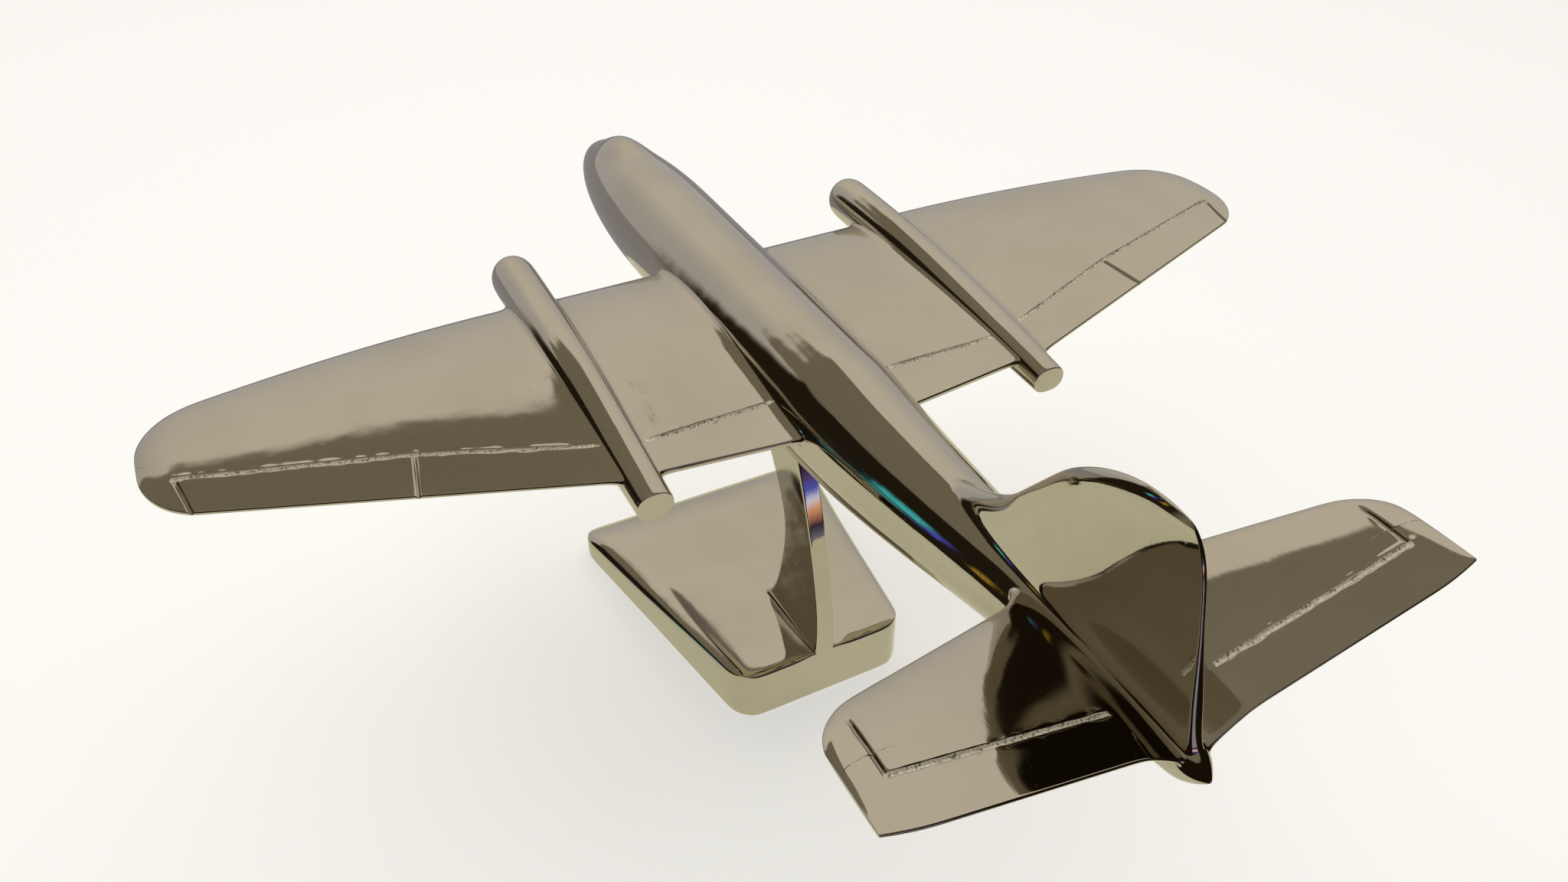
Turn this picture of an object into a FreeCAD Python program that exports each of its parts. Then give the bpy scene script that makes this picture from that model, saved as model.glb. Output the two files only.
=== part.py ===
"""Desk model of a twin-jet aircraft on a one-piece metal stand.

Frame: +X towards the nose, +Y to port, +Z up.  Z = 0 is the desk top under the
felt, Y = 0 is the plane of symmetry.  Stations along X are drawn from the wing's
datum; the finished pieces are slid by CENTRE_SHIFT, which puts X = 0 half way
between the nose and the tail cone.  All lengths are in millimetres.
"""
import FreeCAD, Part
import math
import os

from FreeCAD import Matrix, Vector

# ---- driving dimensions -------------------------------------------------------
CENTRE_SHIFT = 2.25            # slides every piece so that the whole is centred in X
NOSE_X = 180.0                 # foremost point of the fuselage
TAIL_X = -184.5                # rearmost point of the tail cone
BODY_RADIUS = 19.4             # fuselage radius over the parallel middle
BODY_AXIS_Z = 130.0            # height of the fuselage axis above the desk
NOSE_LENGTH = 80.0             # length of the half-ellipse nose
TAPER_START_X = -30.0          # where the tail taper begins
TAIL_RADIUS = 4.3              # radius the taper runs down to
TAIL_CAP = 9.0                 # length of the pointed end of the tail cone
TAIL_RISE = 6.6                # how far the axis climbs towards the tail
RISE_START_X = -45.0
RISE_LENGTH = 100.0

CANOPY_CENTRE = Vector(145.0, 0.0, 139.5)
CANOPY_HALF = (17.0, 9.5, 9.4)

WING_Z = 133.0                 # chord plane of the inner wing
WING_DIHEDRAL = 0.05           # rise per mm of span outside the nacelle
ROOT_Y = 8.0                   # the wing is made from here and trimmed to the body
NACELLE_Y = 65.5
WING_TIP_Y = 187.5
TIP_FRONT_Y = 168.0            # where the leading edge turns into the rounded tip
TIP_REAR_Y = 174.0             # where the trailing edge does
TIP_SET_BACK = 17.0            # chord lost from each edge in the tip
WING_LE_X = 65.5               # leading edge of the inner wing
WING_TE_ROOT_X = -40.5
WING_TE_SLOPE = 0.115          # inner trailing edge runs forward by this per mm
OUTER_ROOT_Y = 76.0            # where the outer panel leaves the nacelle
OUTER_LE_X = 66.0
OUTER_LE_SLOPE = 0.075         # outer leading edge runs back by this per mm
OUTER_LE_BOW = 0.0011          # and by this per square mm
OUTER_TE_X = -33.6             # outer trailing edge beside the nacelle
OUTER_TE_SLOPE = 0.31
INNER_THICK = 10.4
TIP_THICK = 5.2
INNER_EDGE = 1.6               # thickness of the blunt trailing edges
OUTER_EDGE = 1.1
AILERON_ROOT = (-21.5, NACELLE_Y)      # (x, y) along the aileron's hinge line
AILERON_KINK = (-3.0, 119.0)
AILERON_CORNER = (12.0, 178.5)
AILERON_SPLIT_END = (-18.2, 122.0)     # rear ends of its two chordwise lines
AILERON_TIP_END = (3.0, 176.0)

NACELLE_NOSE_X = 87.5
NACELLE_TAIL_X = -45.5
NACELLE_RADIUS = 7.6
NACELLE_HALF_HEIGHT = 8.1
NACELLE_END_WIDTH = 11.0
NACELLE_END_HEIGHT = 8.6
NACELLE_NOSE_Z = 136.6
NACELLE_END_Z = 130.4
NACELLE_ARCH = 1.8             # how far the axis bows up half way along
NACELLE_SQUARENESS = 0.84      # under 1 flattens the sides of the rear section

TAILPLANE_ROOT_Z = 142.9
TAILPLANE_DIHEDRAL = 0.23
TAILPLANE_TIP_Y = 76.0
TAILPLANE_TURN_Y = 63.0        # where the leading edge turns into the rounded tip
TAILPLANE_TE_X = -179.0
TAILPLANE_LE_X = -131.4
TAILPLANE_SWEEP = 0.30
TAILPLANE_THICK = 5.2
TAILPLANE_TIP_THICK = 3.0
TAILPLANE_EDGE = 0.9
TAIL_ROOT_REACH = 18.0         # span of the cast fillet at its root
TAIL_ROOT_DIP = 7.0            # how far the fillet dips
TAIL_ROOT_SWEEP = 14.0         # how far it sweeps forward
TAIL_ROOT_SWELL = 2.0          # how much it thickens
HORN_CORNER_Y = 68.0           # corner and front end of the elevator's horn line
HORN_FRONT_X = -153.5

FIN_FOOT_Z = 146.0
FIN_TOP_Z = 191.0
FIN_TURN_Z = 176.0             # where both edges turn into the rounded top
FIN_LE_X = -101.0
FIN_LE_SLOPE = 0.82
FIN_TE_X = -177.8
FIN_TE_SLOPE = 0.235
FIN_FOOT_SWEEP = 13.0          # how far the foot's cast fillet sweeps forward
FIN_FOOT_SWELL = 4.0           # how much it thickens

GROOVE_WIDTH = 0.9
GROOVE_DEPTH = 0.45
HINGE_X = -23.0                # inner flap line
ELEVATOR_X = -167.0

BASE_REAR_X = -25.0
BASE_FRONT_X = 93.0
BASE_REAR_HALF = 33.0
BASE_FRONT_HALF = 54.0
BASE_REAR_HEIGHT = 21.4
BASE_MID_HEIGHT = 16.4
BASE_FRONT_HEIGHT = 12.6
BASE_LIP_HEIGHT = 2.6          # upright edge left under the front roll
BASE_ROLL = 13.0               # length of the front roll
BASE_BOTTOM_Z = 0.3
BASE_CORNER = 9.0
BASE_WIDTH = 2.0 * BASE_FRONT_HALF
PYLON_THICK = 6.4
PYLON_REAR = ((BASE_REAR_X, 1.0), (BASE_REAR_X, 24.0), (-24.4, 42.0), (-19.6, 67.0), (-11.3, 93.0), (-1.0, 116.0))
PYLON_FRONT = ((30.0, 116.0), (11.5, 90.0), (1.6, 72.0), (-0.2, 61.0), (2.6, 44.0), (8.6, 26.0), (14.6, 17.5),
               (16.0, 1.0))
FELT_INSET = 5.0
FELT_RECESS = 1.0

RING_POLES = 16

SPAR_RADIUS = 1.6
SPAR_FRONT_X = 38.0
SPAR_REAR_X = 4.0
SPAR_REACH_Y = 92.0
DOWEL_RADIUS = 0.8
TAIL_DOWEL_INNER = (3.0, 140.1)        # (y, z) of the tail dowels' ends
TAIL_DOWEL_OUTER = (20.0, 147.4)
STUD_RADIUS = 2.0
STUD_FOOT_Z = 92.0
STUD_TOP_Z = 124.0
STUD_X = 12.5


# ---- small helpers --------------------------------------------------------------
def smooth(value):
    """Ease a 0..1 value in and out, clamped at both ends."""
    value = max(0.0, min(1.0, value))
    return value * value * (3.0 - 2.0 * value)


def mix(start, end, share):
    """Point a share of the way from start to end."""
    return start + (end - start) * share


def mirrored(shape):
    """The starboard copy of a port shape."""
    return shape.mirror(Vector(0, 0, 0), Vector(0, 1, 0))


def rod(start, end, radius):
    """A round bar between two points."""
    run = end.sub(start)
    return Part.makeCylinder(radius, run.Length, start, run)


def ellipsoid(centre, half):
    """An ellipsoid with the given half axes."""
    matrix = Matrix()
    matrix.scale(*half)
    ball = Part.makeSphere(1.0).transformGeometry(matrix)
    ball.translate(centre)
    return ball


def knots(count, closed):
    """Knot values and multiplicities of an even cubic spline with count poles."""
    if closed:
        return list(range(count + 1)), [1] * (count + 1)
    spans = count - 3
    return list(range(spans + 1)), [4] + [1] * (spans - 1) + [4]


def skin(rows, closed):
    """A smooth cubic surface guided by rows of poles; closed rows wrap round."""
    row_knots, row_mults = knots(len(rows), False)
    ring_knots, ring_mults = knots(len(rows[0]), closed)
    surface = Part.BSplineSurface()
    surface.buildFromPolesMultsKnots(rows, row_mults, ring_mults, row_knots, ring_knots, False, closed, 3, 3)
    return surface


def capped(faces):
    """A solid from faces that close up together."""
    shell = Part.makeShell(faces)
    if len(faces) > 1:
        shell.sewShape()
    solid = Part.makeSolid(shell)
    if solid.Volume < 0:
        solid.reverse()
    return solid


def panel_solid(rows):
    """An aerofoil panel: skin round each section, flat rear edge and flat ends."""
    surface = skin(rows, False)
    first, last, upper, lower = surface.bounds()
    ends = [Part.Face(Part.Wire([surface.uIso(u).toShape(), Part.makeLine(surface.value(u, lower),
                                                                      surface.value(u, upper))]))
            for u in (first, last)]
    rear = Part.makeRuledSurface(surface.vIso(upper).toShape(), surface.vIso(lower).toShape())
    return capped([surface.toShape(), rear] + ends)


def tube_solid(rows, open_ends):
    """A round body: rows are rings, and open_ends lists the row ends closed by a flat face."""
    surface = skin(rows, True)
    first, last = surface.bounds()[:2]
    places = {"first": first, "last": last}
    ends = [Part.Face(Part.Wire([surface.uIso(places[end]).toShape()])) for end in open_ends]
    return capped([surface.toShape()] + ends)


def largest(shape):
    """The biggest solid of a shape, without slivers a cut may leave."""
    return max(shape.Solids, key=lambda solid: solid.Volume)


# ---- fuselage --------------------------------------------------------------------
def body_axis_z(x):
    """Height of the fuselage axis at a station."""
    return BODY_AXIS_Z + TAIL_RISE * smooth((RISE_START_X - x) / RISE_LENGTH)


def body_radius(x):
    """Fuselage radius at a station: half-ellipse nose, parallel middle, tapered tail."""
    parallel_x = NOSE_X - NOSE_LENGTH
    if x > parallel_x:
        return BODY_RADIUS * math.sqrt(max(0.0, 1.0 - ((x - parallel_x) / NOSE_LENGTH) ** 2))
    if x > TAPER_START_X:
        return BODY_RADIUS
    share = (TAPER_START_X - x) / (TAPER_START_X - TAIL_X)
    radius = BODY_RADIUS - (BODY_RADIUS - TAIL_RADIUS) * share ** 1.2
    into_cap = max(0.0, (TAIL_X + TAIL_CAP - x) / TAIL_CAP)
    return radius * (1.0 - 0.94 * into_cap ** 2.2)


def ring(x, y, z, half_width, half_height, power=1.0):
    """Poles of a round section; a power under 1 makes it squarer."""
    swell = 3.0 / (2.0 + math.cos(2.0 * math.pi / RING_POLES))
    points = []
    for i in range(RING_POLES):
        angle = 2.0 * math.pi * i / RING_POLES
        side, rise = math.cos(angle), math.sin(angle)
        points.append(Vector(x, y + swell * half_width * math.copysign(abs(side) ** power, side),
                             z + swell * half_height * math.copysign(abs(rise) ** power, rise)))
    return points


def body_ring(x, grow=1.0):
    """Poles of one round fuselage section."""
    radius = grow * body_radius(x)
    return ring(x, 0.0, body_axis_z(x), radius, radius)


def make_fuselage():
    """The whole body with its canopy hump, before any joint holes are drilled."""
    nose = [NOSE_X - NOSE_LENGTH * (1.0 - math.cos(math.radians(a))) for a in (17, 27, 38, 50, 62, 75, 90)]
    middle = [80.0, 60.0, 40.0, 20.0, 0.0, -15.0, TAPER_START_X]
    taper = [-45.0, -62.0, -80.0, -98.0, -116.0, -134.0, -152.0, -166.0]
    taper += [TAIL_X + TAIL_CAP * share for share in (1.0, 0.7, 0.4, 0.15)]
    rings = [ring(NOSE_X, 0.0, BODY_AXIS_Z, 0.0, 0.0), ring(NOSE_X, 0.0, BODY_AXIS_Z, 3.6, 3.6)]
    rings += [body_ring(x) for x in nose + middle + taper]
    rings += [body_ring(TAIL_X)]
    body = tube_solid(rings, ("last",))
    return body.fuse(ellipsoid(CANOPY_CENTRE, CANOPY_HALF)).removeSplitter()


# ---- aerofoil surfaces --------------------------------------------------------------
def half_thickness(share, thick, edge):
    """Half thickness of a section at a share of its chord, with a blunt rear edge."""
    shape = (0.2969 * math.sqrt(share) - 0.1260 * share - 0.3516 * share ** 2
             + 0.2843 * share ** 3 - 0.1036 * share ** 4)
    return 5.0 * thick * shape + 0.5 * edge * share


def section(place, lead, trail, thick, edge):
    """Poles of one section, from the upper rear edge round the nose to the lower.

    place turns (x, offset) into a point: offset is measured across the thickness.
    """
    steps = 12
    shares = [0.5 * (1.0 - math.cos(math.pi * i / steps)) for i in range(steps + 1)]
    upper = [place(mix(lead, trail, s), half_thickness(s, thick, edge)) for s in reversed(shares)]
    lower = [place(mix(lead, trail, s), -half_thickness(s, thick, edge)) for s in shares[1:]]
    return upper + lower


def turned(place, start, end, power):
    """How far an outline has turned in a rounded end: 0 at its start, 1 at its end."""
    share = min(1.0, max(0.0, (place - start) / (end - start)))
    return 1.0 - math.sqrt(1.0 - share ** power)


def thinned(place, start, end, power):
    """What is left of the thickness in a rounded end, never quite nothing."""
    share = min(1.0, max(0.0, (place - start) / (end - start)))
    return math.sqrt(max(0.05, 1.0 - share ** power))


def wing_height(y):
    """Chord-plane height of the wing at a span station."""
    return WING_Z + WING_DIHEDRAL * max(0.0, y - NACELLE_Y)


def inner_edges(y):
    """Leading and trailing edge of the inner wing."""
    return WING_LE_X, WING_TE_ROOT_X + WING_TE_SLOPE * (y - 22.0)


def outer_edges(y):
    """Leading and trailing edge of the outer wing, with the rounded tip."""
    out = y - OUTER_ROOT_Y
    lead = OUTER_LE_X - OUTER_LE_SLOPE * out - OUTER_LE_BOW * out ** 2
    trail = OUTER_TE_X + OUTER_TE_SLOPE * out
    front_turn = turned(y, TIP_FRONT_Y, WING_TIP_Y, 2.4)
    rear_turn = turned(y, TIP_REAR_Y, WING_TIP_Y, 2.2)
    return lead - TIP_SET_BACK * front_turn, trail + TIP_SET_BACK * rear_turn


def wing_thickness(y):
    """Greatest thickness of the wing at a span station."""
    if y < NACELLE_Y:
        return INNER_THICK
    share = (y - NACELLE_Y) / (WING_TIP_Y - NACELLE_Y)
    return mix(INNER_THICK, TIP_THICK, share) * thinned(y, TIP_REAR_Y, WING_TIP_Y, 2.0)


def wing_section(y, edges, edge):
    """Poles of one wing section standing across the span."""
    lead, trail = edges(y)
    height = wing_height(y)
    return section(lambda x, off: Vector(x, y, height + off), lead, trail, wing_thickness(y), edge)


def wing_top(x, y, edges, edge):
    """A point on the wing's upper face."""
    lead, trail = edges(y)
    share = (lead - x) / (lead - trail)
    return Vector(x, y, wing_height(y) + half_thickness(share, wing_thickness(y), edge))


def groove(start, end):
    """A square cutter along a scribed line, GROOVE_DEPTH deep, running a little past both ends."""
    run = end.sub(start)
    past = 0.7 * GROOVE_WIDTH
    bar = Part.makeBox(run.Length + 2 * past, GROOVE_WIDTH, 3.0, Vector(-past, -GROOVE_WIDTH / 2, -GROOVE_DEPTH))
    bar.Placement = FreeCAD.Placement(start, FreeCAD.Rotation(Vector(1, 0, 0), run))
    return bar


def make_inner_wing():
    """The panel between fuselage and nacelle, over-long at both ends."""
    ys = (ROOT_Y, 24.0, 44.0, NACELLE_Y)
    panel = panel_solid([wing_section(y, inner_edges, INNER_EDGE) for y in ys])
    ends = [wing_top(HINGE_X, y, inner_edges, INNER_EDGE) for y in (ROOT_Y, NACELLE_Y)]
    return panel.cut(groove(*ends))


def make_outer_wing():
    """The panel outside the nacelle with its scribed aileron lines."""
    ys = (NACELLE_Y, 90.0, 115.0, 140.0, 158.0, 170.0, 177.0, 182.0, 185.2, 186.8, WING_TIP_Y)
    panel = panel_solid([wing_section(y, outer_edges, OUTER_EDGE) for y in ys])
    places = (AILERON_ROOT, AILERON_KINK, AILERON_CORNER, AILERON_SPLIT_END, AILERON_TIP_END)
    root, kink, corner, split_end, tip_end = (wing_top(x, y, outer_edges, OUTER_EDGE) for x, y in places)
    lines = [groove(*ends) for ends in ((corner, kink), (kink, root), (corner, tip_end), (kink, split_end))]
    return panel.cut(lines[0].multiFuse(lines[1:]))


# ---- nacelles ---------------------------------------------------------------------------
def nacelle_ring(x, grow=1.0):
    """Poles of a nacelle section: round at the nose, flatter sided towards the tail."""
    share = (NACELLE_NOSE_X - x) / (NACELLE_NOSE_X - NACELLE_TAIL_X)
    thinner = share ** 1.8
    half_width = grow * mix(NACELLE_RADIUS, NACELLE_END_WIDTH / 2, thinner)
    half_height = grow * mix(NACELLE_HALF_HEIGHT, NACELLE_END_HEIGHT / 2, thinner)
    power = mix(1.0, NACELLE_SQUARENESS, smooth(share * 1.6))
    height = mix(NACELLE_NOSE_Z, NACELLE_END_Z, share) + NACELLE_ARCH * math.sin(math.pi * share)
    return ring(x, NACELLE_Y, height, half_width, half_height, power)


def make_nacelle():
    """A slim engine tube with a domed nose and a flat cut end."""
    rings = [ring(NACELLE_NOSE_X, NACELLE_Y, NACELLE_NOSE_Z, grow, grow) for grow in (0.0, 2.4)]
    dome = [NACELLE_NOSE_X - NACELLE_RADIUS * share for share in (0.12, 0.42, 0.95)]
    rings += [nacelle_ring(x, grow) for x, grow in zip(dome, (0.66, 0.95, 1.0))]
    rings += [nacelle_ring(x) for x in (72.0, 60.0, 45.0, 30.0, 15.0, 0.0, -15.0, -30.0, NACELLE_TAIL_X)]
    return tube_solid(rings, ("last",))


# ---- tail ---------------------------------------------------------------------------------
def tail_root(y):
    """How far a span station lies in the tailplane's cast fillet: 0 outside, 1 at the middle."""
    return max(0.0, 1.0 - y / TAIL_ROOT_REACH) ** 2


def tailplane_lead(y):
    """Leading edge of the tailplane before its tip is rounded."""
    return TAILPLANE_LE_X - TAILPLANE_SWEEP * (y - 13.0) + TAIL_ROOT_SWEEP * tail_root(y)


def tailplane_thickness(y):
    """Greatest thickness of the tailplane before its tip is rounded."""
    plain = mix(TAILPLANE_THICK, TAILPLANE_TIP_THICK, y / TAILPLANE_TIP_Y)
    return plain + TAIL_ROOT_SWELL * tail_root(y)


def tailplane_height(y):
    """Chord-plane height of the tailplane, dipping into the fuselage at its root."""
    return TAILPLANE_ROOT_Z + TAILPLANE_DIHEDRAL * y - TAIL_ROOT_DIP * tail_root(y)


def tailplane_section(y):
    """Poles of one tailplane section standing across the span."""
    lead = tailplane_lead(y) - 9.0 * turned(y, TAILPLANE_TURN_Y, TAILPLANE_TIP_Y, 2.2)
    trail = TAILPLANE_TE_X + 1.2 * max(0.0, (y - TAILPLANE_TURN_Y) / (TAILPLANE_TIP_Y - TAILPLANE_TURN_Y)) ** 2
    thick = tailplane_thickness(y) * thinned(y, TAILPLANE_TURN_Y, TAILPLANE_TIP_Y, 4.0)
    height = tailplane_height(y)
    return section(lambda x, off: Vector(x, y, height + off), lead, trail, thick, TAILPLANE_EDGE)


def tailplane_top(x, y):
    """A point on the tailplane's upper face short of its rounded tip."""
    lead = tailplane_lead(y)
    share = (lead - x) / (lead - TAILPLANE_TE_X)
    return Vector(x, y, tailplane_height(y) + half_thickness(share, tailplane_thickness(y), TAILPLANE_EDGE))


def make_tailplane():
    """A port tailplane with its scribed elevator line."""
    ys = (1.0, 5.0, 9.0, 13.0, 18.0, 24.0, 34.0, 48.0, 59.0, 66.0, 71.0, 74.0, 75.5, TAILPLANE_TIP_Y)
    panel = panel_solid([tailplane_section(y) for y in ys])
    corner = tailplane_top(ELEVATOR_X, HORN_CORNER_Y)
    ends = (tailplane_top(ELEVATOR_X, 16.0), tailplane_top(HORN_FRONT_X, HORN_CORNER_Y))
    hinge, horn = (groove(corner, end) for end in ends)
    return panel.cut(hinge.fuse(horn))


def fin_section(z):
    """One fin section; the foot swells out and forward as a cast fillet."""
    rise = z - FIN_FOOT_Z
    foot = max(0.0, 1.0 - (rise - 1.0) / 13.0)
    lead = FIN_LE_X - FIN_LE_SLOPE * rise + FIN_FOOT_SWEEP * foot ** 1.8
    lead -= 17.0 * turned(z, FIN_TURN_Z, FIN_TOP_Z, 2.0)
    trail = FIN_TE_X + FIN_TE_SLOPE * rise + 6.0 * turned(z, FIN_TURN_Z, FIN_TOP_Z, 3.0)
    swell = max(0.0, 1.0 - rise / 10.0) ** 2
    thick = mix(8.0, 4.2, rise / (FIN_TOP_Z - FIN_FOOT_Z)) * thinned(z, FIN_TURN_Z, FIN_TOP_Z, 3.0)
    thick += FIN_FOOT_SWELL * swell
    edge = mix(3.6, 1.2, smooth(rise / 26.0)) * thinned(z, FIN_TURN_Z, FIN_TOP_Z, 4.0)
    return section(lambda x, off: Vector(x, -off, z), lead, trail, thick, edge)


def make_fin():
    """The fin with its foot run down inside the fuselage."""
    zs = (138.0, 143.0, 147.0, 151.0, 156.0, 162.0, 169.0, 176.0, 182.0, 186.5, 189.3, 190.6, FIN_TOP_Z)
    return panel_solid([fin_section(z) for z in zs])


# ---- stand ------------------------------------------------------------------------------
def base_half(x):
    """Half width of the stand's foot at a station."""
    return mix(BASE_REAR_HALF, BASE_FRONT_HALF, (x - BASE_REAR_X) / (BASE_FRONT_X - BASE_REAR_X))


def plan_prism(inset, low, high):
    """The foot's tapered outline, rounded at its corners, as an upright prism."""
    rear, front = BASE_REAR_X + inset, BASE_FRONT_X - inset
    corners = [Vector(rear, base_half(rear) - inset, low), Vector(front, base_half(front) - inset, low)]
    corners += [Vector(p.x, -p.y, low) for p in reversed(corners)]
    prism = Part.Face(Part.makePolygon(corners + corners[:1])).extrude(Vector(0, 0, high - low))
    upright = [edge for edge in prism.Edges if edge.BoundBox.ZLength > 0.9 * (high - low)]
    return prism.makeFillet(BASE_CORNER, upright)


def make_foot():
    """The sloping foot: tall at the back, rolling down to the desk at the front."""
    rear_top = Vector(BASE_REAR_X, 0, BASE_REAR_HEIGHT)
    roll_start = Vector(BASE_FRONT_X - BASE_ROLL, 0, BASE_FRONT_HEIGHT)
    roll_end = Vector(BASE_FRONT_X, 0, BASE_LIP_HEIGHT)
    low_front = Vector(BASE_FRONT_X, 0, BASE_BOTTOM_Z)
    low_rear = Vector(BASE_REAR_X, 0, BASE_BOTTOM_Z)
    crown = Part.Arc(rear_top, Vector(30.0, 0, BASE_MID_HEIGHT), roll_start).toShape()
    roll = Part.Arc(roll_start, Vector(BASE_FRONT_X - 3.2, 0, 9.2), roll_end).toShape()
    outline = Part.Wire([crown, roll, Part.makeLine(roll_end, low_front), Part.makeLine(low_front, low_rear),
                         Part.makeLine(low_rear, rear_top)])
    wedge = Part.Face(outline).extrude(Vector(0, BASE_WIDTH, 0))
    wedge.translate(Vector(0, -BASE_WIDTH / 2, 0))
    return wedge.common(plan_prism(0.0, BASE_BOTTOM_Z, 40.0))


def make_pylon():
    """The blade pillar, its rear face flush with the back of the foot."""
    rear = Part.BSplineCurve()
    rear.interpolate([Vector(x, 0, z) for x, z in PYLON_REAR])
    front = Part.BSplineCurve()
    front.interpolate([Vector(x, 0, z) for x, z in PYLON_FRONT])
    head = Part.makeLine(rear.EndPoint, front.StartPoint)
    sole = Part.makeLine(front.EndPoint, rear.StartPoint)
    outline = Part.Wire([rear.toShape(), head, front.toShape(), sole])
    blade = Part.Face(outline).extrude(Vector(0, PYLON_THICK, 0))
    blade.translate(Vector(0, -PYLON_THICK / 2, 0))
    return blade


def make_stand():
    """Foot and pylon as the one casting they are, recessed below for the felt."""
    casting = make_foot().fuse(make_pylon()).removeSplitter()
    return casting.cut(plan_prism(FELT_INSET, -1.0, BASE_BOTTOM_Z + FELT_RECESS))


def make_felt():
    """The felt pad, standing just proud of the foot."""
    return plan_prism(FELT_INSET, 0.0, BASE_BOTTOM_Z + FELT_RECESS)


# ---- joining pieces ------------------------------------------------------------------------
def spar(x):
    """A round spar rod running through body, inner wings and nacelles."""
    return rod(Vector(x, -SPAR_REACH_Y, WING_Z), Vector(x, SPAR_REACH_Y, WING_Z), SPAR_RADIUS)


def tail_dowels():
    """Two short dowels that locate a tailplane on the fuselage."""
    def dowel(x):
        return rod(Vector(x, *TAIL_DOWEL_INNER), Vector(x, *TAIL_DOWEL_OUTER), DOWEL_RADIUS)
    return Part.makeCompound([dowel(-146.0), dowel(-160.0)])


def fin_dowels():
    """Two upright dowels that locate the fin on the fuselage."""
    def dowel(x):
        return rod(Vector(x, 0, 136.0), Vector(x, 0, 160.0), DOWEL_RADIUS)
    return Part.makeCompound([dowel(-128.0), dowel(-153.0)])


def mounting_stud():
    """The stud that ties the belly to the head of the pylon."""
    return rod(Vector(STUD_X - 4.0, 0, STUD_FOOT_Z), Vector(STUD_X + 1.0, 0, STUD_TOP_Z), STUD_RADIUS)


def build():
    """Every piece by node name, each trimmed so that neighbours meet face to face."""
    body = make_fuselage()
    nacelle = make_nacelle()
    fin = largest(make_fin().cut(body))
    inner = largest(make_inner_wing().cut(body).cut(nacelle))
    outer = largest(make_outer_wing().cut(nacelle))
    tailplane = largest(make_tailplane().cut(body).cut(fin))
    stand = make_stand().cut(body)
    spars = [spar(SPAR_FRONT_X), spar(SPAR_REAR_X)]
    dowels, uprights, stud = tail_dowels(), fin_dowels(), mounting_stud()

    body = body.cut(spars[0]).cut(spars[1]).cut(dowels).cut(mirrored(dowels)).cut(uprights).cut(stud)
    inner, outer, nacelle = (piece.cut(spars[0]).cut(spars[1]) for piece in (inner, outer, nacelle))
    tailplane = tailplane.cut(dowels)
    pieces = {
        "fuselage": largest(body),
        "fin": largest(fin.cut(uprights)),
        "stand": largest(stand.cut(stud)),
        "felt_pad": make_felt(),
        "mounting_stud": stud,
        "fin_dowels": uprights,
        "front_spar_rod": spars[0],
        "rear_spar_rod": spars[1],
    }
    sided = {"inner_wing": inner, "outer_wing": outer, "nacelle": nacelle,
             "tailplane": tailplane, "tailplane_dowels": dowels}
    for name, shape in sided.items():
        solid = shape if name == "tailplane_dowels" else largest(shape)
        pieces[name + "_port"] = solid
        pieces[name + "_starboard"] = mirrored(solid)
    return pieces


def main():
    """Write one STEP file for each piece."""
    os.makedirs("parts", exist_ok=True)
    for name, shape in sorted(build().items()):
        shape.translate(Vector(CENTRE_SHIFT, 0, 0))
        box = shape.BoundBox
        print("%-26s valid=%s solids=%d vol=%.0f x %.1f..%.1f y %.1f..%.1f z %.1f..%.1f" % (
            name, shape.isValid(), len(shape.Solids), shape.Volume,
            box.XMin, box.XMax, box.YMin, box.YMax, box.ZMin, box.ZMax))
        shape.exportStep("parts/" + name + ".step")


main()
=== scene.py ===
"""Looks of a polished metal desk model of a twin-jet aircraft on its stand.

Shapes are worked out in millimetres in the row frame (+X nose, +Y port, +Z up)
and scaled to metres when a piece is finished.
"""
import logging
import math
import random
from collections.abc import Callable, Sequence
from dataclasses import dataclass, field
from enum import Enum

import bmesh
import bpy
from mathutils import Matrix, Vector


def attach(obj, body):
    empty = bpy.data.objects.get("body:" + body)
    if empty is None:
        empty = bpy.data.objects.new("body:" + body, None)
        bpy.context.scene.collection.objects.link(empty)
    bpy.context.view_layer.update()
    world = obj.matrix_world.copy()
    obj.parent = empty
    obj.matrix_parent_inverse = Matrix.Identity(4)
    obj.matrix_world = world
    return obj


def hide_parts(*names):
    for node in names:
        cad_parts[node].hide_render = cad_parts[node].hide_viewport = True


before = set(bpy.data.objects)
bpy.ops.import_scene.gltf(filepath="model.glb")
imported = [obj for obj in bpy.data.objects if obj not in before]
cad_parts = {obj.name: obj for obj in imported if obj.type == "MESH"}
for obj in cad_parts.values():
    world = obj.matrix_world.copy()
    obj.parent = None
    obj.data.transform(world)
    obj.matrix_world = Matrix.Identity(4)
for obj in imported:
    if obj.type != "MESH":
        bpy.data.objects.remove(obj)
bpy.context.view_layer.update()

LOG = logging.getLogger("desk_model")
MM = 0.001
BODY = "root"
TRIM_X = 2.25            # slides the model along X so that its box is centred
Ring = list[Vector]
Colour = tuple[float, float, float]
Pair = tuple[float, float]
Band = tuple[float, float, float, float]


class Slot(Enum):
    """Material slots of the record that pieces are labelled with; the finish itself is handed to
    each piece.
    """

    AIRFRAME = "airframe_plate"
    STAND = "stand_plate"
    FELT = "felt"


class Side(Enum):
    """Which side of the plane of symmetry a piece belongs to."""

    PORT = 1
    STARBOARD = -1

    @property
    def label(self) -> str:
        """Name ending used for pieces of this side."""
        return self.name.lower()


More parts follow.
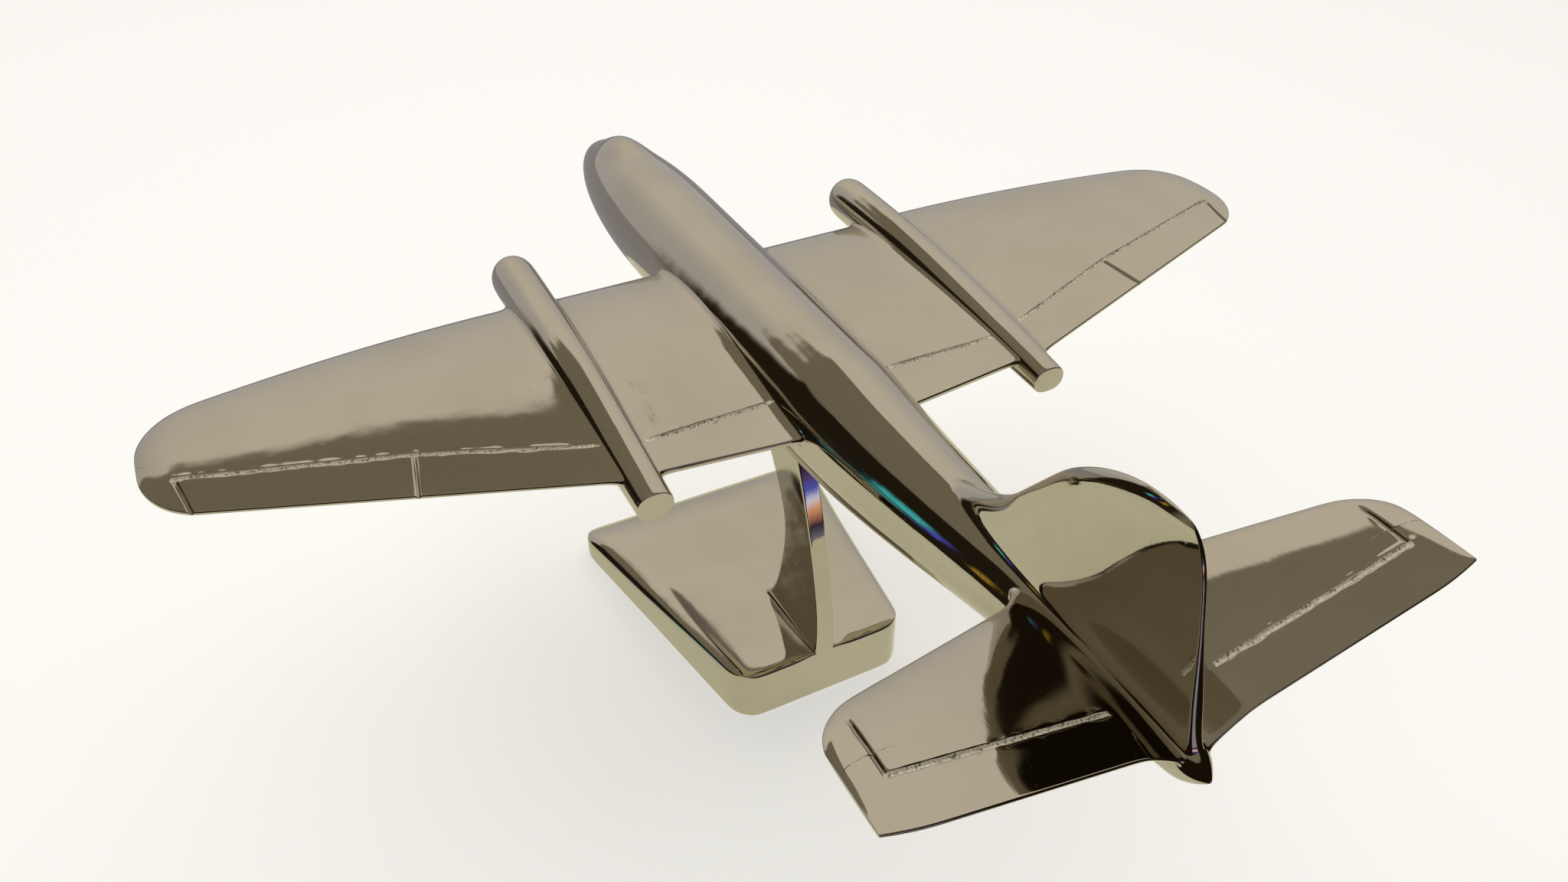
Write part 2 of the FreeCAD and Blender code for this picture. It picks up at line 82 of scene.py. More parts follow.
# ---- shader helpers ---------------------------------------------------------
class Wire:
    """A node socket that can be added, multiplied and compared like a number."""

    def __init__(self, graph: "Graph", socket: bpy.types.NodeSocket) -> None:
        """Keep the socket and the graph it belongs to."""
        self.graph = graph
        self.socket = socket

    def _math(self, operation: str, first: "Wire | float", second: "Wire | float") -> "Wire":
        """One Math node on two values."""
        return self.graph.node("ShaderNodeMath", {"operation": operation}, {0: first, 1: second})

    def __add__(self, other: "Wire | float") -> "Wire":
        """Sum."""
        return self._math("ADD", self, other)

    __radd__ = __add__

    def __mul__(self, other: "Wire | float") -> "Wire":
        """Product."""
        return self._math("MULTIPLY", self, other)

    __rmul__ = __mul__

    def __sub__(self, other: "Wire | float") -> "Wire":
        """Difference."""
        return self._math("SUBTRACT", self, other)

    def __rsub__(self, other: float) -> "Wire":
        """Difference from a number on the left."""
        return self._math("SUBTRACT", other, self)

    def ramp(self, low: "Wire | float", high: "Wire | float") -> "Wire":
        """Smooth step between two limits.

        Args:
            low: value that gives 0.
            high: value that gives 1.

        Returns:
            The eased value.
        """
        settings = {"interpolation_type": "SMOOTHSTEP"}
        limits = {"Value": self, "From Min": low, "From Max": high}
        return self.graph.node("ShaderNodeMapRange", settings, limits)

    def band(self, start: float, full: float, fall: float, end: float) -> "Wire":
        """1 from full to fall, easing to 0 at start and at end."""
        return self.ramp(start, full) * (1.0 - self.ramp(fall, end))


class Graph:
    """A node tree with one way of adding any node."""

    def __init__(self, tree: bpy.types.NodeTree) -> None:
        """Start from an emptied tree."""
        self.tree = tree
        tree.nodes.clear()

    def node(self, kind: str, settings: dict | None = None, inputs: dict | None = None,
             output: int | str = 0) -> Wire:
        """Add a node.

        Args:
            kind: the node's type name.
            settings: attributes set first; "stops" fills a colour ramp.
            inputs: socket values or Wires, by name or index.
            output: which output the returned Wire stands for.

        Returns:
            A Wire on the chosen output.
        """
        made = self.tree.nodes.new(kind)
        for name, value in (settings or {}).items():
            if name == "stops":
                self._stops(made.color_ramp, value)
            else:
                setattr(made, name, value)
        for name, value in (inputs or {}).items():
            socket = made.inputs[name]
            if isinstance(value, Wire):
                self.tree.links.new(value.socket, socket)
            else:
                socket.default_value = value
        return Wire(self, made.outputs[output]) if made.outputs else Wire(self, None)

    @staticmethod
    def _stops(ramp: bpy.types.ColorRamp, stops: Sequence[tuple[float, Colour]]) -> None:
        """Fill a colour ramp with (place, colour) stops."""
        for place, colour in stops[1:-1]:
            ramp.elements.new(place).color = (*colour, 1.0)
        for end, (place, colour) in ((0, stops[0]), (len(ramp.elements) - 1, stops[-1])):
            ramp.elements[end].position = place
            ramp.elements[end].color = (*colour, 1.0)

    def mix(self, share: "Wire | float", first: "Wire | tuple", second: "Wire | tuple") -> Wire:
        """Blend two colours by a share."""
        inputs = {"Factor": share, 6: rgba(first), 7: rgba(second)}
        return self.node("ShaderNodeMix", {"data_type": "RGBA"}, inputs, 2)

    def place(self) -> Wire:
        """Object coordinates."""
        return self.node("ShaderNodeTexCoord", output="Object")

    def noise(self, scale: float, detail: float = 2.0, where: "Wire | None" = None) -> Wire:
        """Fractal noise over the object, about 0.5 on average."""
        inputs = {"Vector": where or self.place(), "Scale": scale, "Detail": detail}
        return self.node("ShaderNodeTexNoise", None, inputs)

    def stretched(self, scale: tuple[float, float, float]) -> Wire:
        """Object coordinates scaled unevenly, for patterns with a grain."""
        return self.node("ShaderNodeMapping", None, {"Vector": self.place(), "Scale": scale})

    def bump(self, height: Wire, distance: float, strength: float = 1.0,
             under: "Wire | None" = None) -> Wire:
        """Normal raised by a height, over another normal where one is given."""
        inputs = {"Strength": strength, "Distance": distance, "Height": height}
        if under is not None:
            inputs["Normal"] = under
        return self.node("ShaderNodeBump", None, inputs)

    def surface(self, settings: dict) -> None:
        """Finish the tree with a Principled surface."""
        shader = self.node("ShaderNodeBsdfPrincipled", None, settings)
        self.node("ShaderNodeOutputMaterial", None, {"Surface": shader})


def rgba(colour: "Wire | tuple") -> "Wire | tuple":
    """Give a plain colour its fourth number."""
    return colour if isinstance(colour, Wire) or len(colour) == 4 else (*colour, 1.0)


# ---- finishes ---------------------------------------------------------------
@dataclass(frozen=True)
class Finish:
    """A named finish; each kind works out its own surface."""

    name: str

    def make(self) -> bpy.types.Material:
        """Build the material.

        Returns:
            The new material.
        """
        material = bpy.data.materials.new(self.name)
        material.use_nodes = True
        graph = Graph(material.node_tree)
        graph.surface(self.surface(graph))
        return material

    def surface(self, graph: Graph) -> dict:
        """Inputs of the surface, by name."""
        raise NotImplementedError


@dataclass(frozen=True)
class PolishedPlate(Finish):
    """Nickel plate over a hand-polished casting: nearly a mirror, slightly wavy."""

    colour: Colour = (0.58, 0.535, 0.44)
    deep: Colour = (0.55, 0.505, 0.41)
    roughness: float = 0.045
    haze: float = 0.035
    speck: float = 0.10
    wave_size: float = 0.016
    wave_height: float = 0.00010
    scratch_height: float = 0.000004

    def surface(self, graph: Graph) -> dict:
        """Inputs of the surface, by name."""
        cloud = graph.noise(38.0, 4.0)
        wave = graph.noise(1.0 / self.wave_size, 1.5)
        scratch = graph.noise(900.0, 2.0, graph.stretched((0.12, 1.0, 1.0)))
        specks = graph.noise(620.0, 3.0).ramp(0.66, 0.74)
        dull = cloud.ramp(0.45, 0.75) * self.haze + specks * self.speck
        waves = graph.bump(wave, self.wave_height)
        return {
            "Base Color": graph.mix(cloud.ramp(0.35, 0.7), self.colour, self.deep),
            "Metallic": 1.0,
            "Roughness": self.roughness + dull,
            "Normal": graph.bump(scratch, self.scratch_height, under=waves),
        }


@dataclass(frozen=True)
class ScribedBurr(Finish):
    """Bright raw metal turned up along a hand-scribed line, speckled with pits; its bright colour
    on a mostly diffuse surface is also a painted glint.
    """

    # bright colour: raw metal, and partly a painted glint
    raw_metal_and_glint: Colour = (0.95, 0.90, 0.74)
    pit: Colour = (0.30, 0.25, 0.15)
    grain: float = 1400.0
    chatter: float = 620.0
    height: float = 0.00022

    def surface(self, graph: Graph) -> dict:
        """Inputs of the surface, by name."""
        speckle = graph.noise(self.grain, 3.0)
        chatter = graph.noise(self.chatter, 2.0)
        return {
            # the bright colour is raw metal and partly a painted glint, lit diffusely by the
            # overhead lamp
            "Base Color": graph.mix(speckle.ramp(0.36, 0.50), self.pit, self.raw_metal_and_glint),
            "Metallic": 0.3,
            "Roughness": 0.34 + chatter.ramp(0.3, 0.7) * 0.25,
            "Normal": graph.bump(chatter * 0.6 + speckle * 0.4, self.height),
        }


@dataclass(frozen=True)
class PressedFelt(Finish):
    """Dark wool felt with loose fibres."""

    colour: Colour = (0.018, 0.024, 0.020)
    fibre: Colour = (0.055, 0.065, 0.055)
    height: float = 0.0003

    def surface(self, graph: Graph) -> dict:
        """Inputs of the surface, by name."""
        fuzz = graph.noise(1900.0, 6.0)
        tangle = graph.noise(420.0, 5.0, graph.stretched((1.0, 0.35, 1.0)))
        return {
            "Base Color": graph.mix((fuzz + tangle) * 0.5, self.colour, self.fibre),
            "Roughness": 0.95,
            "Sheen Weight": 0.4,
            "Normal": graph.bump(fuzz * 0.6 + tangle * 0.4, self.height),
        }


@dataclass(frozen=True)
class DrawnSteel(Finish):
    """Cold-drawn steel rod with fine lines along its length."""

    colour: Colour = (0.55, 0.55, 0.56)
    stain: Colour = (0.34, 0.32, 0.30)
    height: float = 0.00006

    def surface(self, graph: Graph) -> dict:
        """Inputs of the surface, by name."""
        lines = graph.noise(2200.0, 3.0, graph.stretched((1.0, 0.04, 1.0)))
        cloud = graph.noise(150.0, 3.0)
        return {
            "Base Color": graph.mix(cloud.ramp(0.4, 0.7), self.colour, self.stain),
            "Metallic": 1.0,
            "Roughness": 0.26 + lines * 0.16,
            "Normal": graph.bump(lines, self.height, strength=0.6),
        }


@dataclass(frozen=True)
class FloorPaper(Finish):
    """Pale paper that gives off a little light, so that it stays even."""

    glow: float = 0.52

    def surface(self, graph: Graph) -> dict:
        """Inputs of the surface, by name."""
        grain = graph.noise(900.0, 3.0)
        return {
            "Base Color": graph.mix(grain, (0.80, 0.80, 0.78), (0.84, 0.84, 0.82)),
            "Roughness": 0.9,
            "Specular IOR Level": 0.0,
            "Emission Color": (1.0, 0.995, 0.97, 1.0),
            "Emission Strength": self.glow,
        }


@dataclass(frozen=True)
class DeskTop(Finish):
    """Dull cream surface, lit by itself."""

    cream: tuple[Colour, Colour] = ((0.62, 0.61, 0.46), (0.72, 0.70, 0.55))

    def surface(self, graph: Graph) -> dict:
        """Inputs of the surface, by name."""
        cloud = graph.noise(3.0, 2.0)
        return {
            "Base Color": (0.0, 0.0, 0.0, 1.0),
            "Roughness": 0.9,
            "Specular IOR Level": 0.0,
            "Emission Color": graph.mix(cloud.ramp(0.3, 0.7), *self.cream),
            "Emission Strength": 1.0,
        }


# ---- mesh helpers -----------------------------------------------------------
def smooth(value: float) -> float:
    """Ease a 0..1 value in and out, clamped at both ends."""
    value = max(0.0, min(1.0, value))
    return value * value * (3.0 - 2.0 * value)


def blend(start: float, end: float, share: float) -> float:
    """Value a share of the way from start to end."""
    return start + (end - start) * share


def part(value: float, start: float, end: float) -> float:
    """How far a value has come from start to end, kept within 0..1."""
    return max(0.0, min(1.0, (value - start) / (end - start)))


def fall(turn: float, power: float = 2.0, least: float = 0.0) -> float:
    """Round fall from 1 to the least as turn goes from 0 to 1."""
    return math.sqrt(max(least, 1.0 - turn ** power))


def cage_swell(around: int) -> float:
    """How much larger a cage ring is than the smoothed skin that it gives."""
    return 3.0 / (2.0 + math.cos(2.0 * math.pi / around))


def stations(start: float, end: float, step: float) -> list[float]:
    """Evenly spaced places from start to end, both included."""
    count = max(1, round(abs(end - start) / step))
    return [blend(start, end, i / count) for i in range(count + 1)]


class Cage:
    """A quad cage grown ring by ring, in millimetres."""

    def __init__(self, first: Ring) -> None:
        """Start from a circle of vertices moved to the first ring."""
        self.bm = bmesh.new()
        made = bmesh.ops.create_circle(self.bm, cap_ends=False, radius=1.0, segments=len(first))
        self.ring = list(made["verts"])
        self._move(first)

    def _move(self, places: Ring) -> None:
        """Put the open ring's vertices at the given places."""
        for vertex, place in zip(self.ring, places):
            vertex.co = place

    def edges(self) -> list[bmesh.types.BMEdge]:
        """Edges round the open ring."""
        pairs = zip(self.ring, self.ring[1:] + self.ring[:1])
        return [self.bm.edges.get(pair) for pair in pairs]

    def grow(self, places: Ring) -> list[bmesh.types.BMFace]:
        """Extrude the open ring and move it to the next places.

        Args:
            places: where the new ring's vertices go.

        Returns:
            The new faces, in ring order.
        """
        old = self.edges()
        made = bmesh.ops.extrude_edge_only(self.bm, edges=old)["geom"]
        fresh = {item for item in made if isinstance(item, bmesh.types.BMVert)}
        self.ring = [next(edge.other_vert(vertex) for edge in vertex.link_edges
                          if edge.other_vert(vertex) in fresh) for vertex in self.ring]
        self._move(places)
        new = {item for item in made if isinstance(item, bmesh.types.BMFace)}
        return [next(f for f in edge.link_faces if f in new) for edge in old]

    def close(self) -> None:
        """Fill the open ring with one face."""
        bmesh.ops.contextual_create(self.bm, geom=self.edges())


@dataclass
class Piece:
    """Turns a finished cage into a named, dressed and riding object."""

    name: str
    nodes: tuple[str, ...]
    slot: Slot
    materials: tuple[bpy.types.Material, ...]
    levels: int = 2

    def make(self, bm: bmesh.types.BMesh, side: Side = Side.PORT) -> bpy.types.Object:
        """Finish the piece.

        Args:
            bm: its cage in millimetres, built for the port side.
            side: the starboard side gets a mirrored copy.

        Returns:
            The new object.
        """
        size = Vector((MM, MM * side.value, MM))
        bmesh.ops.translate(bm, vec=(TRIM_X, 0.0, 0.0), verts=bm.verts)
        bmesh.ops.scale(bm, vec=size, verts=bm.verts)
        bmesh.ops.recalc_face_normals(bm, faces=bm.faces)
        for face in bm.faces:
            face.smooth = True
        mesh = bpy.data.meshes.new(self.name)
        bm.to_mesh(mesh)
        bm.free()
        for material in self.materials:
            mesh.materials.append(material)
        piece = bpy.data.objects.new(self.name, mesh)
        bpy.context.scene.collection.objects.link(piece)
        if self.levels:
            finer = piece.modifiers.new("surface", "SUBSURF")
            finer.levels = finer.render_levels = self.levels
        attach(piece, BODY)
        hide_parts(*self.nodes)
        LOG.info("%s: %d cage faces, stands for %s",
                 self.name, len(mesh.polygons), ", ".join(self.nodes))
        return piece


# ---- round bodies -----------------------------------------------------------
@dataclass
class Fuselage:
    """The round body: half-ellipse nose, parallel middle, tapered and rising tail."""

    nose_x: float = 180.0
    tail_x: float = -184.5
    radius: float = 19.4
    axis_z: float = 130.0
    nose_length: float = 80.0
    taper_x: float = -30.0
    taper_power: float = 1.2
    tail_radius: float = 4.3
    cap_length: float = 9.0
    cap_draw: float = 0.94
    cap_power: float = 2.8
    rise: float = 6.6
    rise_x: float = -45.0
    rise_length: float = 100.0
    hump_x: float = 147.0
    hump_half: Pair = (21.0, 12.0)
    hump_lift: float = 3.4
    around: int = 32
    nose_angles: tuple[float, ...] = (4, 8, 13, 18, 23)
    cockpit_end: float = 124.0
    middle_start: float = 118.0
    steps: tuple[float, float, float] = (2.5, 8.0, 6.0)
    cap_rings: tuple[Pair, ...] = ((0.8, 1.0), (0.55, 1.0), (0.3, 1.0), (0.12, 1.0), (0.03, 1.1),
                                   (0.0, 0.7))

    def centre_z(self, x: float) -> float:
        """Height of the axis at a station."""
        return self.axis_z + self.rise * smooth((self.rise_x - x) / self.rise_length)

    def radius_at(self, x: float) -> float:
        """Radius at a station."""
        parallel_x = self.nose_x - self.nose_length
        if x > parallel_x:
            return self.radius * fall((x - parallel_x) / self.nose_length)
        if x > self.taper_x:
            return self.radius
        share = (self.taper_x - x) / (self.taper_x - self.tail_x)
        radius = self.radius - (self.radius - self.tail_radius) * share ** self.taper_power
        into_cap = max(0.0, (self.tail_x + self.cap_length - x) / self.cap_length)
        return radius * (1.0 - self.cap_draw * into_cap ** self.cap_power)

    def depth(self, point: Vector) -> float:
        """How far a point stands outside the skin; negative inside."""
        return math.hypot(point.y, point.z - self.centre_z(point.x)) - self.radius_at(point.x)

    def onto(self, point: Vector, lift: float = 0.0) -> Vector:
        """The point of the skin straight out from the axis through a point."""
        centre = self.centre_z(point.x)
        away = math.hypot(point.y, point.z - centre) or 1.0
        scale = (self.radius_at(point.x) + lift) / away
        return Vector((point.x, point.y * scale, centre + (point.z - centre) * scale))

    def outward(self, point: Vector) -> Vector:
        """Skin direction at a point."""
        slope = (self.radius_at(point.x + 1.0) - self.radius_at(point.x - 1.0)) / 2.0
        out = Vector((0.0, point.y, point.z - self.centre_z(point.x))).normalized()
        return Vector((-slope, out.y, out.z)).normalized()

    def hump(self, x: float, y: float, z: float) -> float:
        """Height of the skin where the canopy hump swells it."""
        along = (x - self.hump_x) / self.hump_half[0]
        across = y / self.hump_half[1]
        left = max(0.0, 1.0 - along ** 2 - across ** 2)
        return z + self.hump_lift * left ** 2 if z > self.axis_z else z

    def ring(self, x: float, grow: float = 1.0) -> Ring:
        """Cage ring at a station, swollen so that its smoothed skin has the true radius."""
        radius = grow * cage_swell(self.around) * self.radius_at(x)
        centre = self.centre_z(x)
        ring = []
        for i in range(self.around):
            angle = 2.0 * math.pi * i / self.around
            y, z = radius * math.cos(angle), centre + radius * math.sin(angle)
            ring.append(Vector((x, y, self.hump(x, y, z))))
        return ring

    def make(self, plate: bpy.types.Material) -> bpy.types.Object:
        """Build the body.

        Args:
            plate: its finish.

        Returns:
            The new object.
        """
        fine, coarse, rear = self.steps
        nose = [self.nose_x - self.nose_length * (1.0 - math.cos(math.radians(angle)))
                for angle in self.nose_angles]
        cockpit = stations(nose[-1] - 3.0, self.cockpit_end, fine)
        middle = stations(self.middle_start, self.taper_x, coarse)
        taper = stations(self.taper_x - 5.0, self.tail_x + self.cap_length + 2.0, rear)
        places = nose + cockpit + middle + taper
        cage = Cage(self.ring(places[0]))
        cage.close()
        for x in places[1:]:
            cage.grow(self.ring(x))
        for share, grow in self.cap_rings:
            cage.grow(self.ring(self.tail_x + self.cap_length * share, grow))
        cage.close()
        return Piece("polished_fuselage", ("fuselage",), Slot.AIRFRAME, (plate,)).make(cage.bm)


@dataclass
class Nacelle:
    """A slim engine tube: domed nose, flat-sided tail with a cut end."""

    nose_x: float = 87.5
    tail_x: float = -45.5
    centre_y: float = 65.5
    radius: float = 7.6
    tall: float = 8.1
    end_half: Pair = (5.5, 4.3)
    nose_z: float = 136.6
    end_z: float = 130.4
    arch: float = 1.8
    squareness: float = 0.84
    square_from: float = 1.6
    thin_power: float = 1.8
    around: int = 32
    step: float = 6.0
    dome: tuple[Pair, ...] = ((0.0, 0.16), (0.03, 0.34), (0.12, 0.53), (0.26, 0.70), (0.46, 0.86),
                              (0.72, 0.96))
    cut_end: tuple[Pair, ...] = ((0.35, 1.0), (0.0, 0.985), (-0.02, 0.9), (0.0, 0.5))

    def share(self, x: float) -> float:
        """How far along the tube a station is, 0 at the nose."""
        return (self.nose_x - x) / (self.nose_x - self.tail_x)

    def centre_z(self, x: float) -> float:
        """Height of the axis at a station."""
        share = part(x, self.nose_x, self.tail_x)
        return blend(self.nose_z, self.end_z, share) + self.arch * math.sin(math.pi * share)

    def half(self, x: float) -> tuple[float, float, float]:
        """Half width, half height and squareness at a station."""
        share = max(0.0, self.share(x))
        power = blend(1.0, self.squareness, smooth(share * self.square_from))
        thinner = share ** self.thin_power
        wide = blend(self.radius, self.end_half[0], thinner)
        return wide, blend(self.tall, self.end_half[1], thinner), power

    def swollen(self, point: Vector) -> float:
        """Size of the section through a point as a share of the true one."""
        wide, high, power = self.half(point.x)
        across = abs(point.y - self.centre_y) / wide
        up = abs(point.z - self.centre_z(point.x)) / high
        return (across ** (2.0 / power) + up ** (2.0 / power)) ** (power / 2.0)

    def depth(self, point: Vector) -> float:
        """How far a point stands outside the skin; negative inside."""
        return (self.swollen(point) - 1.0) * self.radius

    def onto(self, point: Vector, lift: float = 0.0) -> Vector:
        """The point of the skin straight out from the axis through a point."""
        centre = Vector((point.x, self.centre_y, self.centre_z(point.x)))
        scale = (1.0 + lift / self.radius) / max(1e-6, self.swollen(point))
        return centre + (point - centre) * scale

    def outward(self, point: Vector) -> Vector:
        """Skin direction at a point."""
        wide, high, power = self.half(point.x)
        across, up = (point.y - self.centre_y) / wide, (point.z - self.centre_z(point.x)) / high
        turn = 2.0 / power - 1.0
        return Vector((0.0, math.copysign(abs(across) ** turn, across) / wide,
                       math.copysign(abs(up) ** turn, up) / high)).normalized()

    def ring(self, x: float, grow: float = 1.0) -> Ring:
        """Cage ring at a station."""
        swell = cage_swell(self.around) * grow
        wide, high, power = self.half(x)
        centre = self.centre_z(x)
        ring = []
        for i in range(self.around):
            angle = 2.0 * math.pi * i / self.around
            side, up = math.cos(angle), math.sin(angle)
            ring.append(Vector((
                x, self.centre_y + swell * wide * math.copysign(abs(side) ** power, side),
                centre + swell * high * math.copysign(abs(up) ** power, up))))
        return ring

    def make(self, side: Side, plate: bpy.types.Material) -> bpy.types.Object:
        """Build one nacelle.

        Args:
            side: port or starboard.
            plate: its finish.

        Returns:
            The new object.
        """
        cage = Cage(self.ring(self.nose_x, self.dome[0][1]))
        cage.close()
        for back, grow in self.dome[1:]:
            cage.grow(self.ring(self.nose_x - self.radius * back, grow))
        for x in stations(self.nose_x - self.radius * 1.1, self.tail_x + 3.0, self.step):
            cage.grow(self.ring(x))
        for ahead, grow in self.cut_end:
            cage.grow(self.ring(self.tail_x + ahead, grow))
        cage.close()
        name = "nacelle_" + side.label
        return Piece("polished_" + name, (name,), Slot.AIRFRAME, (plate,)).make(cage.bm, side)


# ---- aerofoil surfaces ------------------------------------------------------
def half_thickness(share: float, thick: float, edge: float) -> float:
    """Half thickness of a section at a share of its chord, with a blunt rear edge."""
    shape = (0.2969 * math.sqrt(share) - 0.1260 * share - 0.3516 * share ** 2
             + 0.2843 * share ** 3 - 0.1036 * share ** 4)
    return 5.0 * thick * shape + 0.5 * edge * share


@dataclass(frozen=True)
class Station:
    """One aerofoil section: chord line from lead to trail, thickness and offset."""

    lead: float
    trail: float
    thick: float
    edge: float
    lift: Callable[[float, float, float], Vector]

    def point(self, share: float, upper: int, span: float) -> Vector:
        """A point of the section's skin.

        Args:
            share: place along the chord.
            upper: 1 for the upper or port face, -1 for the other.
            span: place along the span, which may differ along the chord.

        Returns:
            The point.
        """
        x = blend(self.lead, self.trail, share)
        return self.lift(x, upper * half_thickness(share, self.thick, self.edge), span)


@dataclass
class Scribe:
    """Size of a hand-scribed line as columns and rows of the cage follow it."""

    reach: float = 1.35
    edge: float = 0.6
    depth: float = 1.0
    burr: float = 0.26
    wander: float = 0.14

    def rows(self, line: float) -> list[float]:
        """Rows at a line's near lip, bottom and far lip."""
        return [line - self.edge, line, line + self.edge]


@dataclass
class Panel:
    """An aerofoil panel whose cage columns follow a scribed hinge line.

    The station and the hinge's share of the chord are functions of the span, and
    so is the skew, by which rows lean outward from the hinge line to the rear edge.
    """

    station: Callable[[float], Station]
    hinge: Callable[[float], float]
    seed: int
    skew: Callable[[float], float] = lambda span: 0.0
    scribe: Scribe = field(default_factory=Scribe)
    hand: random.Random = field(init=False)

    front = (0.0, 0.006, 0.022, 0.05, 0.095, 0.155, 0.23, 0.32, 0.42, 0.53, 0.64, 0.75, 0.86, 0.95)
    plain = (0.006, 0.022, 0.05, 0.095, 0.155, 0.23, 0.32, 0.42, 0.53, 0.65, 0.77, 0.88)
    rear = (0.33, 0.6, 0.82)
    hinge_column = 7
    rear_edge = 0.45

    def __post_init__(self) -> None:
        """Start the hand's wander."""
        self.hand = random.Random(self.seed)

    def shares(self, span: float) -> list[tuple[float, int]]:
        """Every column of the ring at a span place: (share, upper or lower).

        Args:
            span: place along the span.

        Returns:
            Columns from the upper rear edge round the nose to the lower rear edge.
        """
        section = self.station(span)
        chord = section.lead - section.trail
        line = self.hinge(span)
        gaps = [s / chord for s in (self.scribe.reach, self.scribe.edge)]
        edge = 1.0 - self.rear_edge / chord
        before = [line * f for f in self.front]
        before[-1] = line - 2.2 * gaps[0]
        before[-2] = min(before[-2], line - 4.5 * gaps[0])
        middle = [line - gaps[0], line - gaps[1], line, line + gaps[1], line + gaps[0]]
        behind = [line + (1.0 - line) * share for share in self.rear] + [edge, 1.0]
        upper = before + middle + behind
        lower = list(self.plain) + [edge, 1.0]
        return [(s, 1) for s in reversed(upper)] + [(s, -1) for s in lower]

    def point(self, k: int, span: float) -> Vector:
        """A point of the skin by column and span."""
        share, upper = self.shares(span)[k]
        return self.station(span).point(share, upper, span)

    def ring(self, span: float) -> Ring:
        """Cage ring at a span place, before any line is scribed."""
        section = self.station(span)
        line = self.hinge(span)
        ring = []
        for share, upper in self.shares(span):
            lean = self.skew(span) * max(0.0, (share - line) / (1.0 - line))
            place = span + lean
            there = self.station(place) if abs(lean) > 1e-6 else section
            ring.append(there.point(share, upper, place))
        return ring


def seat_rows(plain: Callable[[int, float], Vector], count: int, host: "Fuselage | Nacelle",
              inner: float, outer: float, radius: float, sink: float = 0.35) -> list[Ring]:
    """Rings that run a panel's root into a round host as a cast fillet.

    Args:
        plain: panel point by column and span.
        count: number of columns.
        host: the round body that the panel joins.
        inner: a span place inside the host.
        outer: a span place outside it.
        radius: fillet size.
        sink: how deep the feathered edge ends under the host's skin.

    Returns:
        Rings from the panel side inwards: corner, foot and sunk edge.
    """
    corners = []
    for k in range(count):
        low, high = inner, outer
        for _ in range(30):
            middle = (low + high) / 2.0
            if host.depth(plain(k, middle)) > 0.0:
                high = middle
            else:
                low = middle
        corners.append(plain(k, high))
    centre = sum(corners, Vector()) / count
    foot, end = [], []
    for k in range(count):
        along = corners[(k + 1) % count] - corners[k - 1]
        out = host.outward(corners[k])
        away = along.cross(out).normalized()
        if away.dot(corners[k] - centre) < 0.0:
            away = -away
        foot.append(host.onto(corners[k] + away * radius, 0.02))
        end.append(host.onto(corners[k] + away * radius * 2.0, -sink))
    return [corners, foot, end]


